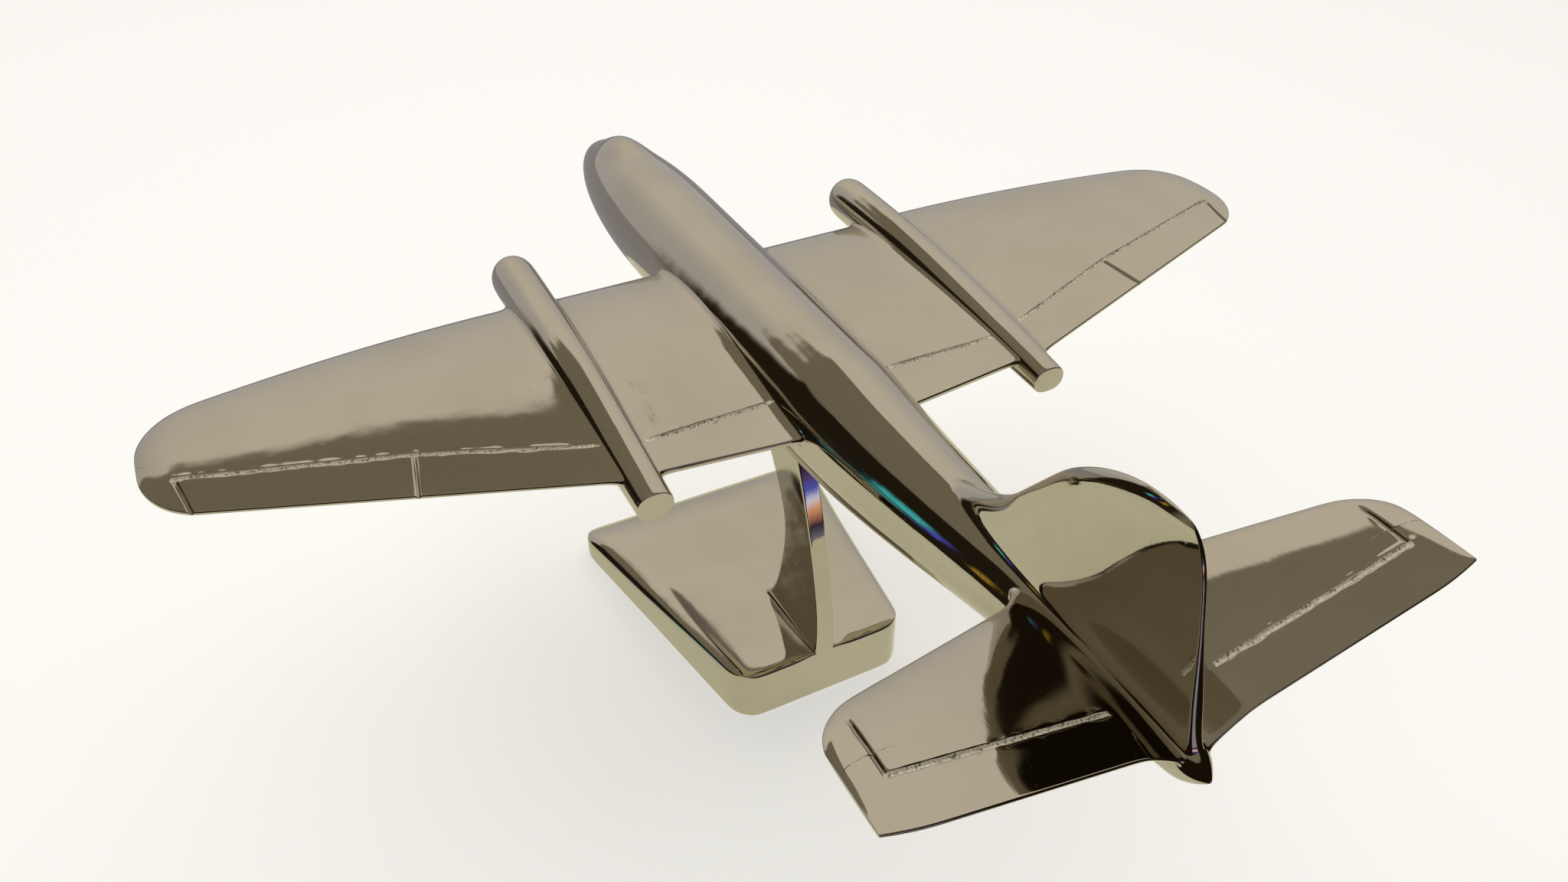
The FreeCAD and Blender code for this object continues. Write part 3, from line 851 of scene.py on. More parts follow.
@dataclass
class Wing:
    """Both panels of one wing: inside and outside the nacelle."""

    height: float = 133.0
    dihedral: float = 0.05
    tip_y: float = 187.5
    root_y: float = 22.0
    lead_x: float = 65.5
    root_trail_x: float = -40.5
    inner_slope: float = 0.115
    inner_edge: float = 1.6
    outer_y: float = 76.0
    outer_lead_x: float = 66.0
    outer_lead_bend: Pair = (0.075, 0.0011)
    outer_trail_x: float = -33.6
    outer_slope: float = 0.31
    outer_edge: float = 1.1
    thick: float = 10.4
    tip_thick: float = 5.2
    flap_x: float = -23.0
    turn_y: float = 174.0
    front_turn_y: float = 168.0
    turn_depth: float = 17.0
    turn_powers: Pair = (2.4, 2.2)
    tip_share: float = 0.72
    tip_rows: tuple[float, ...] = (6.0, 4.4, 3.0, 1.9, 1.1, 0.5, 0.15, 0.0)
    inner_rows: tuple[float, float, float] = (23.5, 53.5, 1.7)
    outer_first: float = 79.0
    outer_step: float = 1.8
    root_fillet: float = 2.6
    nacelle_fillets: Pair = (1.7, 2.2)
    aileron: tuple[Pair, ...] = ((66.0, -21.5), (119.0, -3.0), (178.5, 12.0))
    nacelle: Nacelle = field(default_factory=Nacelle)
    body: Fuselage = field(default_factory=Fuselage)

    def lift(self, x: float, off: float, y: float) -> Vector:
        """A point above or below the chord plane."""
        rise = self.dihedral * max(0.0, y - self.nacelle.centre_y)
        return Vector((x, y, self.height + rise + off))

    def thickness(self, y: float) -> float:
        """Greatest thickness at a span place."""
        if y < self.nacelle.centre_y:
            return self.thick
        share = (y - self.nacelle.centre_y) / (self.tip_y - self.nacelle.centre_y)
        into_tip = part(y, self.turn_y, self.tip_y)
        return blend(self.thick, self.tip_thick, share) * fall(into_tip, least=0.04)

    def inner_station(self, y: float) -> Station:
        """Section between fuselage and nacelle."""
        trail = self.root_trail_x + self.inner_slope * (y - self.root_y)
        return Station(self.lead_x, trail, self.thickness(y), self.inner_edge, self.lift)

    def outer_station(self, y: float) -> Station:
        """Section outside the nacelle, with the rounded tip."""
        out = y - self.outer_y
        slope, bend = self.outer_lead_bend
        front_power, rear_power = self.turn_powers
        lead = self.outer_lead_x - slope * out - bend * out ** 2
        trail = self.outer_trail_x + self.outer_slope * out
        lead -= self.turn_depth * (1.0 - fall(part(y, self.front_turn_y, self.tip_y), front_power))
        trail += self.turn_depth * (1.0 - fall(part(y, self.turn_y, self.tip_y), rear_power))
        thick = self.thickness(min(y, self.tip_y))
        return Station(lead, trail, thick, self.outer_edge, self.lift)

    def aileron_share(self, y: float) -> float:
        """Share of the chord where the aileron line runs."""
        section = self.outer_station(y)
        (y0, x0), (y1, x1), (y2, x2) = self.aileron
        if y < y1:
            x = blend(x0, x1, (y - y0) / (y1 - y0))
        else:
            x = blend(x1, x2, (min(y, y2) - y1) / (y2 - y1))
        share = (section.lead - x) / (section.lead - section.trail)
        if y <= y2:
            return share
        return blend(self.aileron_share(y2), self.tip_share, (y - y2) / (self.tip_y - y2))

    def flap_share(self, y: float) -> float:
        """Share of the chord where the flap line runs."""
        section = self.inner_station(y)
        return (section.lead - self.flap_x) / (section.lead - section.trail)

    def aileron_skew(self, y: float) -> float:
        """Lean of the rows behind the hinge line."""
        (_, _), (kink, _), (corner, _) = self.aileron
        near_kink = max(0.0, 1.0 - abs(y - kink) / 30.0)
        near_corner = max(0.0, 1.0 - abs(y - corner) / 10.0)
        return 3.0 * smooth(near_kink) - 2.5 * smooth(near_corner)

    def make(self, side: Side, plate: bpy.types.Material, burr: bpy.types.Material) -> None:
        """Build both panels of one side.

        Args:
            side: port or starboard.
            plate: the finish of the skin.
            burr: the finish inside the scribed lines.
        """
        self._inner(side, plate, burr)
        self._outer(side, plate, burr)

    def _inner(self, side: Side, plate: bpy.types.Material, burr: bpy.types.Material) -> None:
        """Build the inner panel."""
        panel = Panel(self.inner_station, self.flap_share, 11 + side.value)
        spans = stations(*self.inner_rows)
        builder = ScribedCage(panel, spans, hinge_from=20.0, hinge_to=64.0)
        columns = len(panel.shares(spans[0]))
        root = seat_rows(panel.point, columns, self.body, 4.0, 23.0, self.root_fillet)
        far = seat_rows(panel.point, columns, self.nacelle, self.nacelle.centre_y - 1.0, 53.6,
                        self.nacelle_fillets[0])
        name = "inner_wing_" + side.label
        piece = Piece("polished_" + name, (name,), Slot.AIRFRAME, (plate, burr))
        piece.make(builder.build(root, far), side)

    def _outer(self, side: Side, plate: bpy.types.Material, burr: bpy.types.Material) -> None:
        """Build the outer panel with its root run into the nacelle."""
        panel = Panel(self.outer_station, self.aileron_share, 21 + side.value, self.aileron_skew)
        (_, _), (kink, _), (corner, _) = self.aileron
        start, step, reach = self.outer_first, self.outer_step, panel.scribe.reach
        spans = stations(start, kink - reach, step) + panel.scribe.rows(kink)
        spans += stations(kink + reach, corner - reach, step) + panel.scribe.rows(corner)
        spans += [corner + reach] + [self.tip_y - back for back in self.tip_rows]
        builder = ScribedCage(panel, spans, hinge_from=60.0, hinge_to=corner + 0.1,
                              cross_lines=(kink, corner))
        columns = len(panel.shares(spans[0]))
        seat = seat_rows(panel.point, columns, self.nacelle, 67.0, start, self.nacelle_fillets[1])
        name = "outer_wing_" + side.label
        piece = Piece("polished_" + name, (name,), Slot.AIRFRAME, (plate, burr))
        piece.make(builder.build(seat), side)


@dataclass
class ScribedCage:
    """Grows a panel's cage and cuts its scribed lines as it goes.

    Rows stand at the spans. The hinge line runs between two span places, cross
    lines run from it to the rear edge, and forward lines run from it to an x.
    """

    panel: Panel
    spans: Sequence[float]
    hinge_from: float
    hinge_to: float
    cross_lines: Sequence[float] = ()
    forward_lines: Sequence[Pair] = ()

    def _scribed(self, span: float, k: int, place: Vector) -> float:
        """How deeply a cage point lies in a line: 1 at the bottom, -1 on the burr, 0 outside."""
        column = self.panel.hinge_column
        on_hinge = self.hinge_from <= span <= self.hinge_to
        off = abs(k - column)
        if on_hinge and off == 0:
            return 1.0
        for line in self.cross_lines:
            if k < column and self._beside(span, line):
                return self._beside(span, line)
        for line, reach_x in self.forward_lines:
            if column < k < column + 16 and place.x < reach_x and self._beside(span, line):
                return self._beside(span, line)
        if on_hinge and off == 1:
            return -1.0
        return 0.0

    def _beside(self, span: float, line: float) -> float:
        """1 in a line, -1 on its lip and 0 elsewhere."""
        off = abs(span - line)
        return 1.0 if off < 0.01 else -1.0 if abs(off - self.panel.scribe.edge) < 0.01 else 0.0

    def _ring(self, span: float) -> tuple[Ring, list[float]]:
        """Ring at a span place with its lines cut, and how deeply each point lies in one."""
        scribe, hand = self.panel.scribe, self.panel.hand
        ring = self.panel.ring(span)
        marks = [self._scribed(span, k, place) for k, place in enumerate(ring)]
        for place, mark in zip(ring, marks):
            if mark > 0.0:
                place.z -= scribe.depth * hand.uniform(0.75, 1.15)
                place.x += hand.uniform(-1.0, 1.0) * scribe.wander
            elif mark < 0.0:
                place.z += scribe.burr * hand.uniform(-0.4, 1.3)
                place.x += hand.uniform(-1.0, 1.0) * scribe.wander * 0.6
        return ring, marks

    def build(self, seat: Sequence[Ring] = (), far_seat: Sequence[Ring] = ()) -> bmesh.types.BMesh:
        """Grow the cage.

        Args:
            seat: rings of the root fillet from the panel inwards.
            far_seat: rings of the outer fillet from the panel outwards.

        Returns:
            The closed cage.
        """
        rows = [(ring, [0.0] * len(ring)) for ring in reversed(seat)]
        rows += [self._ring(span) for span in self.spans]
        rows += [(ring, [0.0] * len(ring)) for ring in far_seat]
        cage = Cage(rows[0][0])
        cage.close()
        for (_, before), (ring, marks) in zip(rows, rows[1:]):
            faces = cage.grow(ring)
            count = len(ring)
            for k, face in enumerate(faces):
                corners = (before[k], before[(k + 1) % count], marks[k], marks[(k + 1) % count])
                beside_hinge = k in (self.panel.hinge_column - 1, self.panel.hinge_column)
                face.material_index = int(max(corners) > 0.0 and beside_hinge)
        cage.close()
        return cage.bm


@dataclass
class Tailplane:
    """One tailplane, run into the fuselage by a wide cast fillet."""

    root_z: float = 142.9
    dihedral: float = 0.23
    tip_y: float = 76.0
    trail_x: float = -179.0
    lead_x: float = -131.4
    sweep: float = 0.30
    sweep_y: float = 13.0
    thick: float = 5.2
    tip_thick: float = 3.0
    edge: float = 0.9
    elevator_x: float = -167.0
    horn_y: float = 68.0
    horn_x: float = -153.5
    turn_y: float = 63.0
    turn_depth: float = 9.0
    turn_power: float = 2.2
    tip_rows: tuple[float, ...] = (4.6, 3.4, 2.4, 1.6, 0.9, 0.45, 0.15, 0.0)
    first_y: float = 12.5
    step: float = 1.7
    fillet: float = 1.6
    root_reach: float = 18.0
    root_dip: float = 7.0
    root_sweep: float = 14.0
    root_swell: float = 2.0
    body: Fuselage = field(default_factory=Fuselage)

    def lift(self, x: float, off: float, y: float) -> Vector:
        """A point above or below the chord surface, which dips into the fuselage."""
        z = self.root_z + self.dihedral * y - self.root_dip * self.into_root(y)
        return Vector((x, y, z + off))

    def into_root(self, y: float) -> float:
        """How far a span place lies in the cast fillet: 0 outside, 1 at the plane of symmetry."""
        return max(0.0, 1.0 - y / self.root_reach) ** 2

    def station(self, y: float) -> Station:
        """Section at a span place, with the rounded tip."""
        into_root, turn = self.into_root(y), part(y, self.turn_y, self.tip_y)
        lead = self.lead_x - self.sweep * (y - self.sweep_y) + self.root_sweep * into_root
        lead -= self.turn_depth * (1.0 - fall(turn, self.turn_power))
        trail = self.trail_x + 1.2 * turn ** 2
        thick = blend(self.thick, self.tip_thick, y / self.tip_y) * fall(turn, 4.0, 0.06)
        thick += self.root_swell * into_root
        return Station(lead, trail, thick, self.edge, self.lift)

    def hinge_share(self, y: float) -> float:
        """Share of the chord where the elevator line runs."""
        section = self.station(y)
        return (section.lead - self.elevator_x) / (section.lead - section.trail)

    def make(self, side: Side, plate: bpy.types.Material,
             burr: bpy.types.Material) -> bpy.types.Object:
        """Build one tailplane.

        Args:
            side: port or starboard.
            plate: the finish of the skin.
            burr: the finish inside the scribed lines.

        Returns:
            The new object.
        """
        panel = Panel(self.station, self.hinge_share, 31 + side.value)
        reach = panel.scribe.reach
        spans = stations(self.first_y, self.horn_y - reach, self.step)
        spans += panel.scribe.rows(self.horn_y) + [self.horn_y + reach]
        spans += [self.tip_y - back for back in self.tip_rows]
        builder = ScribedCage(panel, spans, hinge_from=15.0, hinge_to=self.horn_y + 0.1,
                              forward_lines=((self.horn_y, self.horn_x),))
        columns = len(panel.shares(spans[0]))
        seat = seat_rows(panel.point, columns, self.body, 0.0, 20.0, self.fillet)
        name = "tailplane_" + side.label
        piece = Piece("polished_" + name, (name,), Slot.AIRFRAME, (plate, burr))
        return piece.make(builder.build(seat), side)


@dataclass
class Fin:
    """The fin, its foot run out over the fuselage by a cast fillet."""

    foot_z: float = 146.0
    top_z: float = 191.0
    fillet: float = 2.2
    foot_sweep: float = 13.0
    foot_height: float = 13.0
    first_z: float = 151.0
    straight_z: float = 184.0
    row_step: float = 2.75
    lead_x: float = -101.0
    lead_slope: float = 0.82
    trail_x: float = -177.8
    trail_slope: float = 0.235
    turn_z: float = 176.0
    turn_depths: Pair = (17.0, 6.0)
    thick: Pair = (8.0, 4.2)
    edge: Pair = (3.6, 1.2)
    shares: tuple[float, ...] = (0.006, 0.022, 0.05, 0.095, 0.155, 0.23, 0.32, 0.42, 0.53, 0.65,
                                 0.77, 0.88, 0.96, 0.993, 1.0)
    top_rows: tuple[float, ...] = (186.2, 188.0, 189.3, 190.2, 190.7, 191.0)
    body: Fuselage = field(default_factory=Fuselage)

    def station(self, z: float) -> Station:
        """Section at a height."""
        rise = z - self.foot_z
        turn = part(z, self.turn_z, self.top_z)
        foot = max(0.0, 1.0 - (rise - 1.0) / self.foot_height)
        lead = self.lead_x - self.lead_slope * rise + self.foot_sweep * foot ** 1.8
        lead -= self.turn_depths[0] * (1.0 - fall(turn))
        trail = self.trail_x + self.trail_slope * rise
        trail += self.turn_depths[1] * (1.0 - fall(turn, 3.0))
        thick = blend(*self.thick, rise / (self.top_z - self.foot_z)) * fall(turn, 3.0, 0.05)
        edge = blend(*self.edge, smooth(rise / 26.0)) * fall(turn, 4.0, 0.05)
        return Station(lead, trail, thick, edge, lambda x, off, place: Vector((x, off, place)))

    def columns(self) -> list[tuple[float, int]]:
        """(share, face) of every column from the port rear edge round the nose."""
        port = [(share, 1) for share in reversed((0.0,) + self.shares)]
        return port + [(share, -1) for share in self.shares]

    def point(self, k: int, z: float) -> Vector:
        """Fin point by column and height."""
        share, face = self.columns()[k]
        return self.station(z).point(share, face, z)

    def make(self, plate: bpy.types.Material) -> bpy.types.Object:
        """Build the fin.

        Args:
            plate: its finish.

        Returns:
            The new object.
        """
        count = len(self.columns())
        seat = seat_rows(self.point, count, self.body, 130.0, 162.0, self.fillet)
        rows = list(reversed(seat))
        heights = stations(self.first_z, self.straight_z, self.row_step) + list(self.top_rows)
        rows += [[self.point(k, z) for k in range(count)] for z in heights]
        cage = Cage(rows[0])
        cage.close()
        for row in rows[1:]:
            cage.grow(row)
        cage.close()
        return Piece("polished_fin", ("fin",), Slot.AIRFRAME, (plate,)).make(cage.bm)


# ---- stand ------------------------------------------------------------------
@dataclass
class Stand:
    """Foot and pillar as the one casting they are."""

    rear_x: float = -25.0
    front_x: float = 93.0
    rear_half: float = 33.0
    front_half: float = 54.0
    rear_corner: float = 8.0
    front_corner: float = 15.0
    bottom_z: float = 0.3
    thick: float = 6.4
    pillar_front: float = 14.8
    root_fillet: float = 3.0
    rear_roll: Pair = (4.5, 1.6)
    front_roll: Pair = (10.0, 5.0)
    roll_change: float = 85.0
    across: tuple[float, ...] = (0.0, 1.8, 4.2, 8.0)
    crown_z: float = 20.8
    crown_slope: float = 0.084
    crown_bend: Pair = (0.0002, 30.0)
    nose_roll: Pair = (20.0, 9.5)
    lane_inset: float = 14.0
    skirt: float = 2.0
    under: tuple[float, ...] = (0.0, 1.3, 5.0)
    flare_z: Pair = (20.0, 10.0)
    flare: float = 0.30
    rows: tuple[float, ...] = (21.6, 23.5, 27.0, 32.0, 38.0, 46.0, 54.0, 61.0, 68.0, 76.0, 84.0,
                               92.0, 100.0, 109.0, 118.0)
    pillar_rear: tuple[Pair, ...] = ((1.0, -25.0), (24.0, -25.0), (42.0, -24.4), (67.0, -19.6),
                                     (93.0, -11.3), (118.0, -0.2))
    pillar_nose: tuple[Pair, ...] = ((17.5, 14.6), (26.0, 8.6), (44.0, 2.6), (61.0, -0.2),
                                     (72.0, 1.6), (90.0, 11.5), (118.0, 31.2))

    def half(self, x: float) -> float:
        """Half width of the foot at a station."""
        share = (x - self.rear_x) / (self.front_x - self.rear_x)
        return blend(self.rear_half, self.front_half, share)

    def crown(self, x: float) -> float:
        """Height of the foot's top at a station."""
        bend, middle = self.crown_bend
        roll, drop = self.nose_roll
        flat = self.crown_z - self.crown_slope * (x - self.rear_x) + bend * (x - middle) ** 2
        return flat - drop * (1.0 - fall(part(x, self.front_x - roll, self.front_x), 2.2))

    def rim(self, x: float, y: float) -> float:
        """How far the top rolls down at its rear and side edges, wider towards the front."""
        if abs(y) < self.thick:
            return 0.0
        ahead = smooth((x - self.rear_x) / self.roll_change)
        width, depth = (blend(*pair, ahead) for pair in zip(self.rear_roll, self.front_roll))
        turn = max(0.0, 1.0 - min(x - self.rear_x, self.half(x) - abs(y)) / width)
        return -depth * (1.0 - math.sqrt(1.0 - turn ** 2 * 0.9))

    def stations_x(self) -> list[float]:
        """Grid lines along the foot, dense at the pillar and both ends."""
        rear = [self.rear_x + d for d in self.across] + [-12.0, -6.0, 0.0, 5.5, 9.6]
        pillar = [self.pillar_front + d for d in (-1.2, 0.0, 1.2, 4.0)]
        middle = [25.0, 35.0, 46.0, 57.0, 67.0, 74.0]
        front = [self.front_x - d for d in (13.0, 8.5, 4.8, 2.0, 0.0)]
        return rear + pillar + middle + front

    def lane_y(self, x: float) -> list[float]:
        """Positions of all lanes at a station, from starboard to port."""
        half = self.half(x)
        pillar = self.thick / 2.0
        near = pillar + self.root_fillet
        port = [pillar - 0.9, pillar, pillar + 1.0, near]
        port += [blend(near, half - self.lane_inset, share) for share in (0.35, 0.7, 1.0)]
        port += [half - d for d in reversed(self.across)]
        return [-y for y in reversed(port)] + port

    def rounded(self, x: float, y: float) -> tuple[float, float]:
        """Pull a point of a corner cell onto a round corner."""
        half = self.half(x)
        at_rear = x - self.rear_x < self.front_x - x
        corner = self.rear_corner if at_rear else self.front_corner
        from_end = min(x - self.rear_x, self.front_x - x)
        from_side = half - abs(y)
        if from_end >= corner or from_side >= corner:
            return x, y
        p, q = 1.0 - from_end / corner, 1.0 - from_side / corner
        round_p = p * math.sqrt(1.0 - q * q / 2.0)
        round_q = q * math.sqrt(1.0 - p * p / 2.0)
        back = corner * (p - round_p)
        return x + (back if at_rear else -back), math.copysign(abs(y) - corner * (q - round_q), y)

    def pillar_edges(self, z: float) -> tuple[float, float]:
        """Rear and front edge of the pillar at a height."""
        return curve(self.pillar_rear, z), curve(self.pillar_nose, z)

    def make(self, plate: bpy.types.Material) -> bpy.types.Object:
        """Build the casting.

        Args:
            plate: its finish.

        Returns:
            The new object.
        """
        xs = self.stations_x()
        lanes = len(self.lane_y(0.0))
        bm = bmesh.new()
        bmesh.ops.create_grid(bm, x_segments=len(xs) - 1, y_segments=lanes - 1, size=1.0)
        for vertex in bm.verts:
            i = round((vertex.co.x + 1.0) / 2.0 * (len(xs) - 1))
            j = round((vertex.co.y + 1.0) / 2.0 * (lanes - 1))
            x, y = self.rounded(xs[i], self.lane_y(xs[i])[j])
            vertex.co = Vector((x, y, self.crown(x) + self.rim(x, y)))
        pillar_faces = [face for face in bm.faces if self._under_pillar(face)]
        self._skirt(bm)
        self._raise_pillar(bm, pillar_faces)
        return Piece("polished_stand", ("stand",), Slot.STAND, (plate,), levels=3).make(bm)

    def _under_pillar(self, face: bmesh.types.BMFace) -> bool:
        """Whether a face of the top carries the pillar."""
        centre = face.calc_center_median()
        return abs(centre.y) < self.thick / 2.0 and centre.x < self.pillar_front

    def _skirt(self, bm: bmesh.types.BMesh) -> None:
        """Turn the outline down to the desk and under."""
        border = [edge for edge in bm.edges if edge.is_boundary]
        for drop in (self.skirt, None):
            made = bmesh.ops.extrude_edge_only(bm, edges=border)["geom"]
            fresh = [item for item in made if isinstance(item, bmesh.types.BMVert)]
            for vertex in fresh:
                vertex.co.z = vertex.co.z - drop if drop else self.bottom_z + 1.2
            border = [item for item in made
                      if isinstance(item, bmesh.types.BMEdge) and item.is_boundary]
        centre = Vector((35.0, 0.0, 0.0))
        for inset in self.under:
            made = bmesh.ops.extrude_edge_only(bm, edges=border)["geom"]
            for vertex in (item for item in made if isinstance(item, bmesh.types.BMVert)):
                away = Vector((vertex.co.x, vertex.co.y, 0.0)) - centre
                vertex.co -= away.normalized() * inset
                vertex.co.z = self.bottom_z
            border = [item for item in made
                      if isinstance(item, bmesh.types.BMEdge) and item.is_boundary]
        bmesh.ops.contextual_create(bm, geom=border)

    def _raise_pillar(self, bm: bmesh.types.BMesh, faces: list[bmesh.types.BMFace]) -> None:
        """Draw the pillar up from the faces of the top that carry it."""
        low_rear, low_front = self.rear_x, self.pillar_front
        last = 1.0
        start, height = self.flare_z
        for z in self.rows:
            made = bmesh.ops.extrude_face_region(bm, geom=faces)["geom"]
            bmesh.ops.delete(bm, geom=faces, context="FACES")
            faces = [item for item in made if isinstance(item, bmesh.types.BMFace)]
            rear, front = self.pillar_edges(z)
            wider = 1.0 + self.flare * max(0.0, 1.0 - (z - start) / height) ** 2
            for vertex in {v for face in faces for v in face.verts}:
                vertex.co.y *= wider / last
                share = (vertex.co.x - low_rear) / (low_front - low_rear)
                vertex.co.x = blend(rear, front, share)
                vertex.co.z = z
            low_rear, low_front = rear, front
            last = wider


def curve(points: Sequence[tuple[float, float]], place: float) -> float:
    """Smooth curve through (place, value) points, read at one place.

    Args:
        points: places in rising order with their values.
        place: where to read it.

    Returns:
        The value there.
    """
    count = len(points)
    i = next((n for n in range(count - 1) if place <= points[n + 1][0]), count - 2)
    slopes = []
    for n in (i, i + 1):
        before, after = points[max(0, n - 1)], points[min(count - 1, n + 1)]
        slopes.append((after[1] - before[1]) / (after[0] - before[0]))
    (x0, y0), (x1, y1) = points[i], points[i + 1]
    span = x1 - x0
    t = (place - x0) / span
    return ((2 * t ** 3 - 3 * t ** 2 + 1) * y0 + (t ** 3 - 2 * t ** 2 + t) * span * slopes[0]
            + (3 * t ** 2 - 2 * t ** 3) * y1 + (t ** 3 - t ** 2) * span * slopes[1])


@dataclass
class FeltPad:
    """The felt glued under the foot."""

    inset: float = 5.0
    top_z: float = 1.3
    corner: float = 5.0
    soft_edge: float = 0.25
    stand: Stand = field(default_factory=Stand)

    def make(self, felt: bpy.types.Material) -> bpy.types.Object:
        """Build the pad.

        Args:
            felt: its finish.

        Returns:
            The new object.
        """
        rear, front = self.stand.rear_x + self.inset, self.stand.front_x - self.inset
        corners = [(x, self.stand.half(x) - self.inset) for x in (rear, front)]
        corners += [(x, -y) for x, y in reversed(corners)]
        bm = bmesh.new()
        made = [bm.verts.new((x, y, 0.0)) for x, y in corners]
        face = bm.faces.new(made)
        lifted = bmesh.ops.extrude_face_region(bm, geom=[face], use_keep_orig=True)["geom"]
        top = [item for item in lifted if isinstance(item, bmesh.types.BMVert)]
        bmesh.ops.translate(bm, verts=top, vec=(0.0, 0.0, self.top_z))
        upright = [e for e in bm.edges if abs(e.verts[0].co.z - e.verts[1].co.z) > 0.5]
        bmesh.ops.bevel(bm, geom=upright, offset=self.corner, affect="EDGES", segments=6,
                        profile=0.5, material=-1)
        flat = [e for e in bm.edges if abs(e.verts[0].co.z - e.verts[1].co.z) < 0.1]
        bmesh.ops.bevel(bm, geom=flat, offset=self.soft_edge, affect="EDGES", segments=2,
                        profile=0.5, material=-1)
        return Piece("felt_under_foot", ("felt_pad",), Slot.FELT, (felt,), levels=0).make(bm)


# ---- studio -----------------------------------------------------------------
@dataclass
class Studio:
    """Floor, surroundings and camera."""

    lens: float = 27.42
    floor_half: float = 3.0
    overhead_power: float = 14.0
    desk_reach: Pair = (-0.27, 0.29)
    desk_half: float = 0.8
    ahead: Band = (-90.0, -86.0, 33.0, 37.0)
    not_beside: Band = (-90.0, -86.0, 70.0, 75.0)
    doorway: Band = (34.0, 38.0, 66.0, 70.0)
    window: tuple[Band, Band] = ((-176.0, -172.0, -150.0, -146.0), (-30.0, -26.0, 2.0, 4.0))
    streak_rise: Band = (1.0, 3.5, 7.0, 15.0)
    streaks: tuple[tuple[Band, Colour], ...] = (
        ((61.0, 62.5, 63.0, 64.5), (0.42, 0.27, 0.03)),
        ((57.0, 58.0, 58.5, 59.5), (0.10, 0.10, 0.75)),
        ((54.0, 55.5, 56.5, 58.0), (0.08, 0.66, 0.74)))
    window_light: tuple[tuple[float, Colour], ...] = (
        (0.0, (0.30, 0.29, 0.36)), (0.40, (0.34, 0.32, 0.44)), (0.55, (0.03, 0.02, 0.05)),
        (0.66, (1.0, 0.45, 0.25)), (0.73, (0.9, 0.95, 1.3)), (0.80, (0.10, 0.13, 0.8)),
        (0.88, (0.12, 0.08, 0.26)), (1.0, (0.03, 0.02, 0.04)))
    eye: tuple[float, float, float] = (-0.27675, 0.146, 0.3406)
    right: tuple[float, float, float] = (-0.45629, -0.88983, -0.00164)
    up: tuple[float, float, float] = (0.5416, -0.27918, 0.79292)
    back: tuple[float, float, float] = (-0.70603, 0.36091, 0.60932)

    def make(self) -> None:
        """Lay the floor, light the scene and set the camera."""
        self._floor()
        self._desk()
        self._softbox()
        self._world()
        self._camera()
        view = bpy.context.scene.view_settings
        view.view_transform = "Standard"
        view.look = "None"

    def _sheet(self, finish: Finish, name: str, ends: Pair, half: float,
               z: float) -> bpy.types.Object:
        """Lay a flat sheet.

        Args:
            finish: its finish.
            name: what it is called.
            ends: where it starts and ends along X, in metres.
            half: its half width.
            z: its height.

        Returns:
            The new object.
        """
        near, far = ends
        bm = bmesh.new()
        bmesh.ops.create_grid(bm, x_segments=1, y_segments=1, size=half)
        bmesh.ops.scale(bm, vec=((far - near) / (2.0 * half), 1.0, 1.0), verts=bm.verts)
        bmesh.ops.translate(bm, vec=((near + far) / 2.0, 0.0, z), verts=bm.verts)
        mesh = bpy.data.meshes.new(name)
        bm.to_mesh(mesh)
        bm.free()
        mesh.materials.append(finish.make())
        sheet = bpy.data.objects.new(name, mesh)
        bpy.context.scene.collection.objects.link(sheet)
        return sheet

    def _floor(self) -> None:
        """A plain pale floor at the height of the desk."""
        half = self.floor_half
        floor = self._sheet(FloorPaper("floor_paper"), "floor", (-half, half), half, 0.0)
        floor.visible_glossy = False

    def _desk(self) -> None:
        """The dull cream desk top that only the polished metal sees."""
        desk = self._sheet(DeskTop("desk_top"), "desk", self.desk_reach, self.desk_half, -0.0005)
        for ray in ("camera", "diffuse", "shadow", "transmission"):
            setattr(desk, "visible_" + ray, False)

    def _softbox(self) -> None:
        """A wide overhead light that lifts the floor and draws no highlight of its own."""
        data = bpy.data.lights.new("overhead", "AREA")
        data.size = 2.4
        data.energy = self.overhead_power
        lamp = bpy.data.objects.new("overhead", data)
        lamp.location = (0.3, 0.0, 1.6)
        lamp.visible_glossy = False
        bpy.context.scene.collection.objects.link(lamp)

    def _world(self) -> None:
        """Soft surroundings: a pale wall ahead, a dull ceiling, dark to the sides and behind.

        Zones are set by bearing (turn) and height (rise) in degrees, seen from the model.
        """
        world = bpy.data.worlds.new("studio")
        world.use_nodes = True
        bpy.context.scene.world = world
        graph = Graph(world.node_tree)
        place = graph.node("ShaderNodeTexCoord", output="Generated")
        x, y, z = (graph.node("ShaderNodeSeparateXYZ", None, {0: place}, axis) for axis in range(3))
        turn = graph.node("ShaderNodeMath", {"operation": "ARCTAN2"}, {0: y, 1: x})
        rise = graph.node("ShaderNodeMath", {"operation": "ARCSINE"}, {0: z})
        turn, rise = turn * math.degrees(1.0), rise * math.degrees(1.0)
        ragged = rise + (graph.noise(5.0, 3.0, place) - 0.5) * 5.0

        wall_top = 57.0 - turn.ramp(-23.5, -19.5) * 14.5 - turn.ramp(10.0, 34.0) * 13.5
        wall = turn.band(*self.ahead) * (1.0 - ragged.ramp(wall_top - 0.8, wall_top + 0.8))
        dark = (1.0 - turn.band(*self.not_beside)) * (1.0 - ragged.ramp(46.0, 50.0))
        lintel = 32.0 + turn.ramp(44.0, 52.0) * 12.0
        doorway = turn.band(*self.doorway) * (1.0 - ragged.ramp(lintel - 2.0, lintel + 2.0))
        level = rise.band(*self.streak_rise)
        behind = turn.band(*self.window[0]) * rise.band(*self.window[1])
        window = graph.node("ShaderNodeValToRGB", {"stops": self.window_light},
                            {0: (rise + 28.0) * (1.0 / 30.0)})

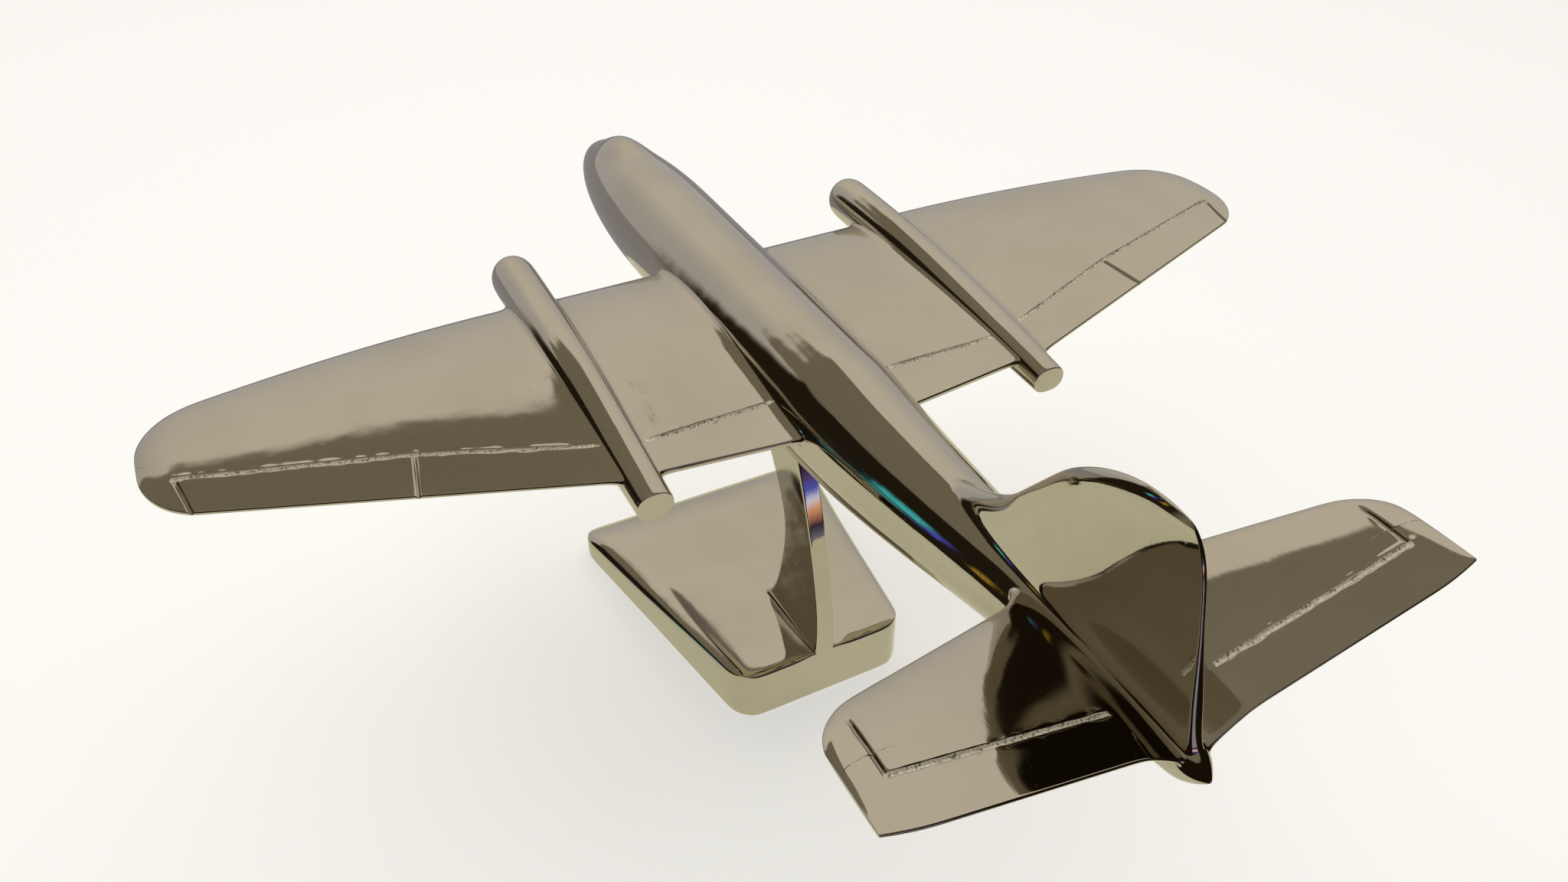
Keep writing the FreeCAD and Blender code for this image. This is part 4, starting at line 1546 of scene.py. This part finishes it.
        paint = graph.mix(rise.ramp(2.0, 40.0), (0.54, 0.53, 0.54), (0.74, 0.69, 0.61))
        paint = graph.mix(turn.ramp(0.0, 30.0) * 0.75, paint, (0.50, 0.49, 0.50))
        paint = graph.mix(1.0 - rise.ramp(-1.5, 0.5), paint, (0.31, 0.30, 0.31))
        colour = graph.mix(rise.ramp(45.0, 90.0), (0.215, 0.19, 0.14), (0.27, 0.25, 0.20))
        colour = graph.mix(dark, colour, (0.012, 0.008, 0.004))
        colour = graph.mix(doorway, colour, (0.02, 0.014, 0.008))
        colour = graph.mix(wall, colour, paint)
        for bearing, light in self.streaks:
            colour = graph.mix(turn.band(*bearing) * level, colour, light)
        colour = graph.mix(behind, colour, window)
        seen = graph.node("ShaderNodeLightPath", output="Is Camera Ray")
        colour = graph.mix(seen, colour, (0.92, 0.92, 0.91))
        shader = graph.node("ShaderNodeBackground", None, {"Color": colour, "Strength": 1.0})
        graph.node("ShaderNodeOutputWorld", None, {"Surface": shader})

    def _camera(self) -> None:
        """Stand behind the port side, looking down at the model."""
        data = bpy.data.cameras.new("camera")
        data.sensor_width = 36.0
        data.lens = self.lens
        camera = bpy.data.objects.new("camera", data)
        bpy.context.scene.collection.objects.link(camera)
        axes = Matrix((self.right, self.up, self.back)).transposed()
        camera.matrix_world = Matrix.Translation(Vector(self.eye)) @ axes.to_4x4()
        bpy.context.scene.camera = camera


HIDDEN_STEEL = ("front_spar_rod", "rear_spar_rod", "mounting_stud", "fin_dowels",
                "tailplane_dowels_port", "tailplane_dowels_starboard")


def dress_node(name: str, material: bpy.types.Material) -> None:
    """Give a carried-over CAD node its finish."""
    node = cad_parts[name]
    if not node.material_slots:
        node.data.materials.append(material)
    for slot in node.material_slots:
        slot.material = material
    LOG.info("%s: dressed in %s", name, material.name)


def main() -> None:
    """Build the model, then the studio round it."""
    logging.basicConfig(level=logging.INFO, format="%(name)s %(message)s")
    airframe = PolishedPlate("airframe_nickel").make()
    casting = PolishedPlate("stand_nickel", wave_height=0.00006).make()
    burr = ScribedBurr("scribed_burr").make()
    felt = PressedFelt("pressed_felt").make()
    steel = DrawnSteel("drawn_steel").make()

    body = Fuselage()
    body.make(airframe)
    for side in Side:
        Nacelle().make(side, airframe)
        Wing().make(side, airframe, burr)
        Tailplane(body=body).make(side, airframe, burr)
    Fin(body=body).make(airframe)
    Stand().make(casting)
    FeltPad().make(felt)
    for name in HIDDEN_STEEL:
        dress_node(name, steel)
    Studio().make()


if __name__ == "__main__":
    main()
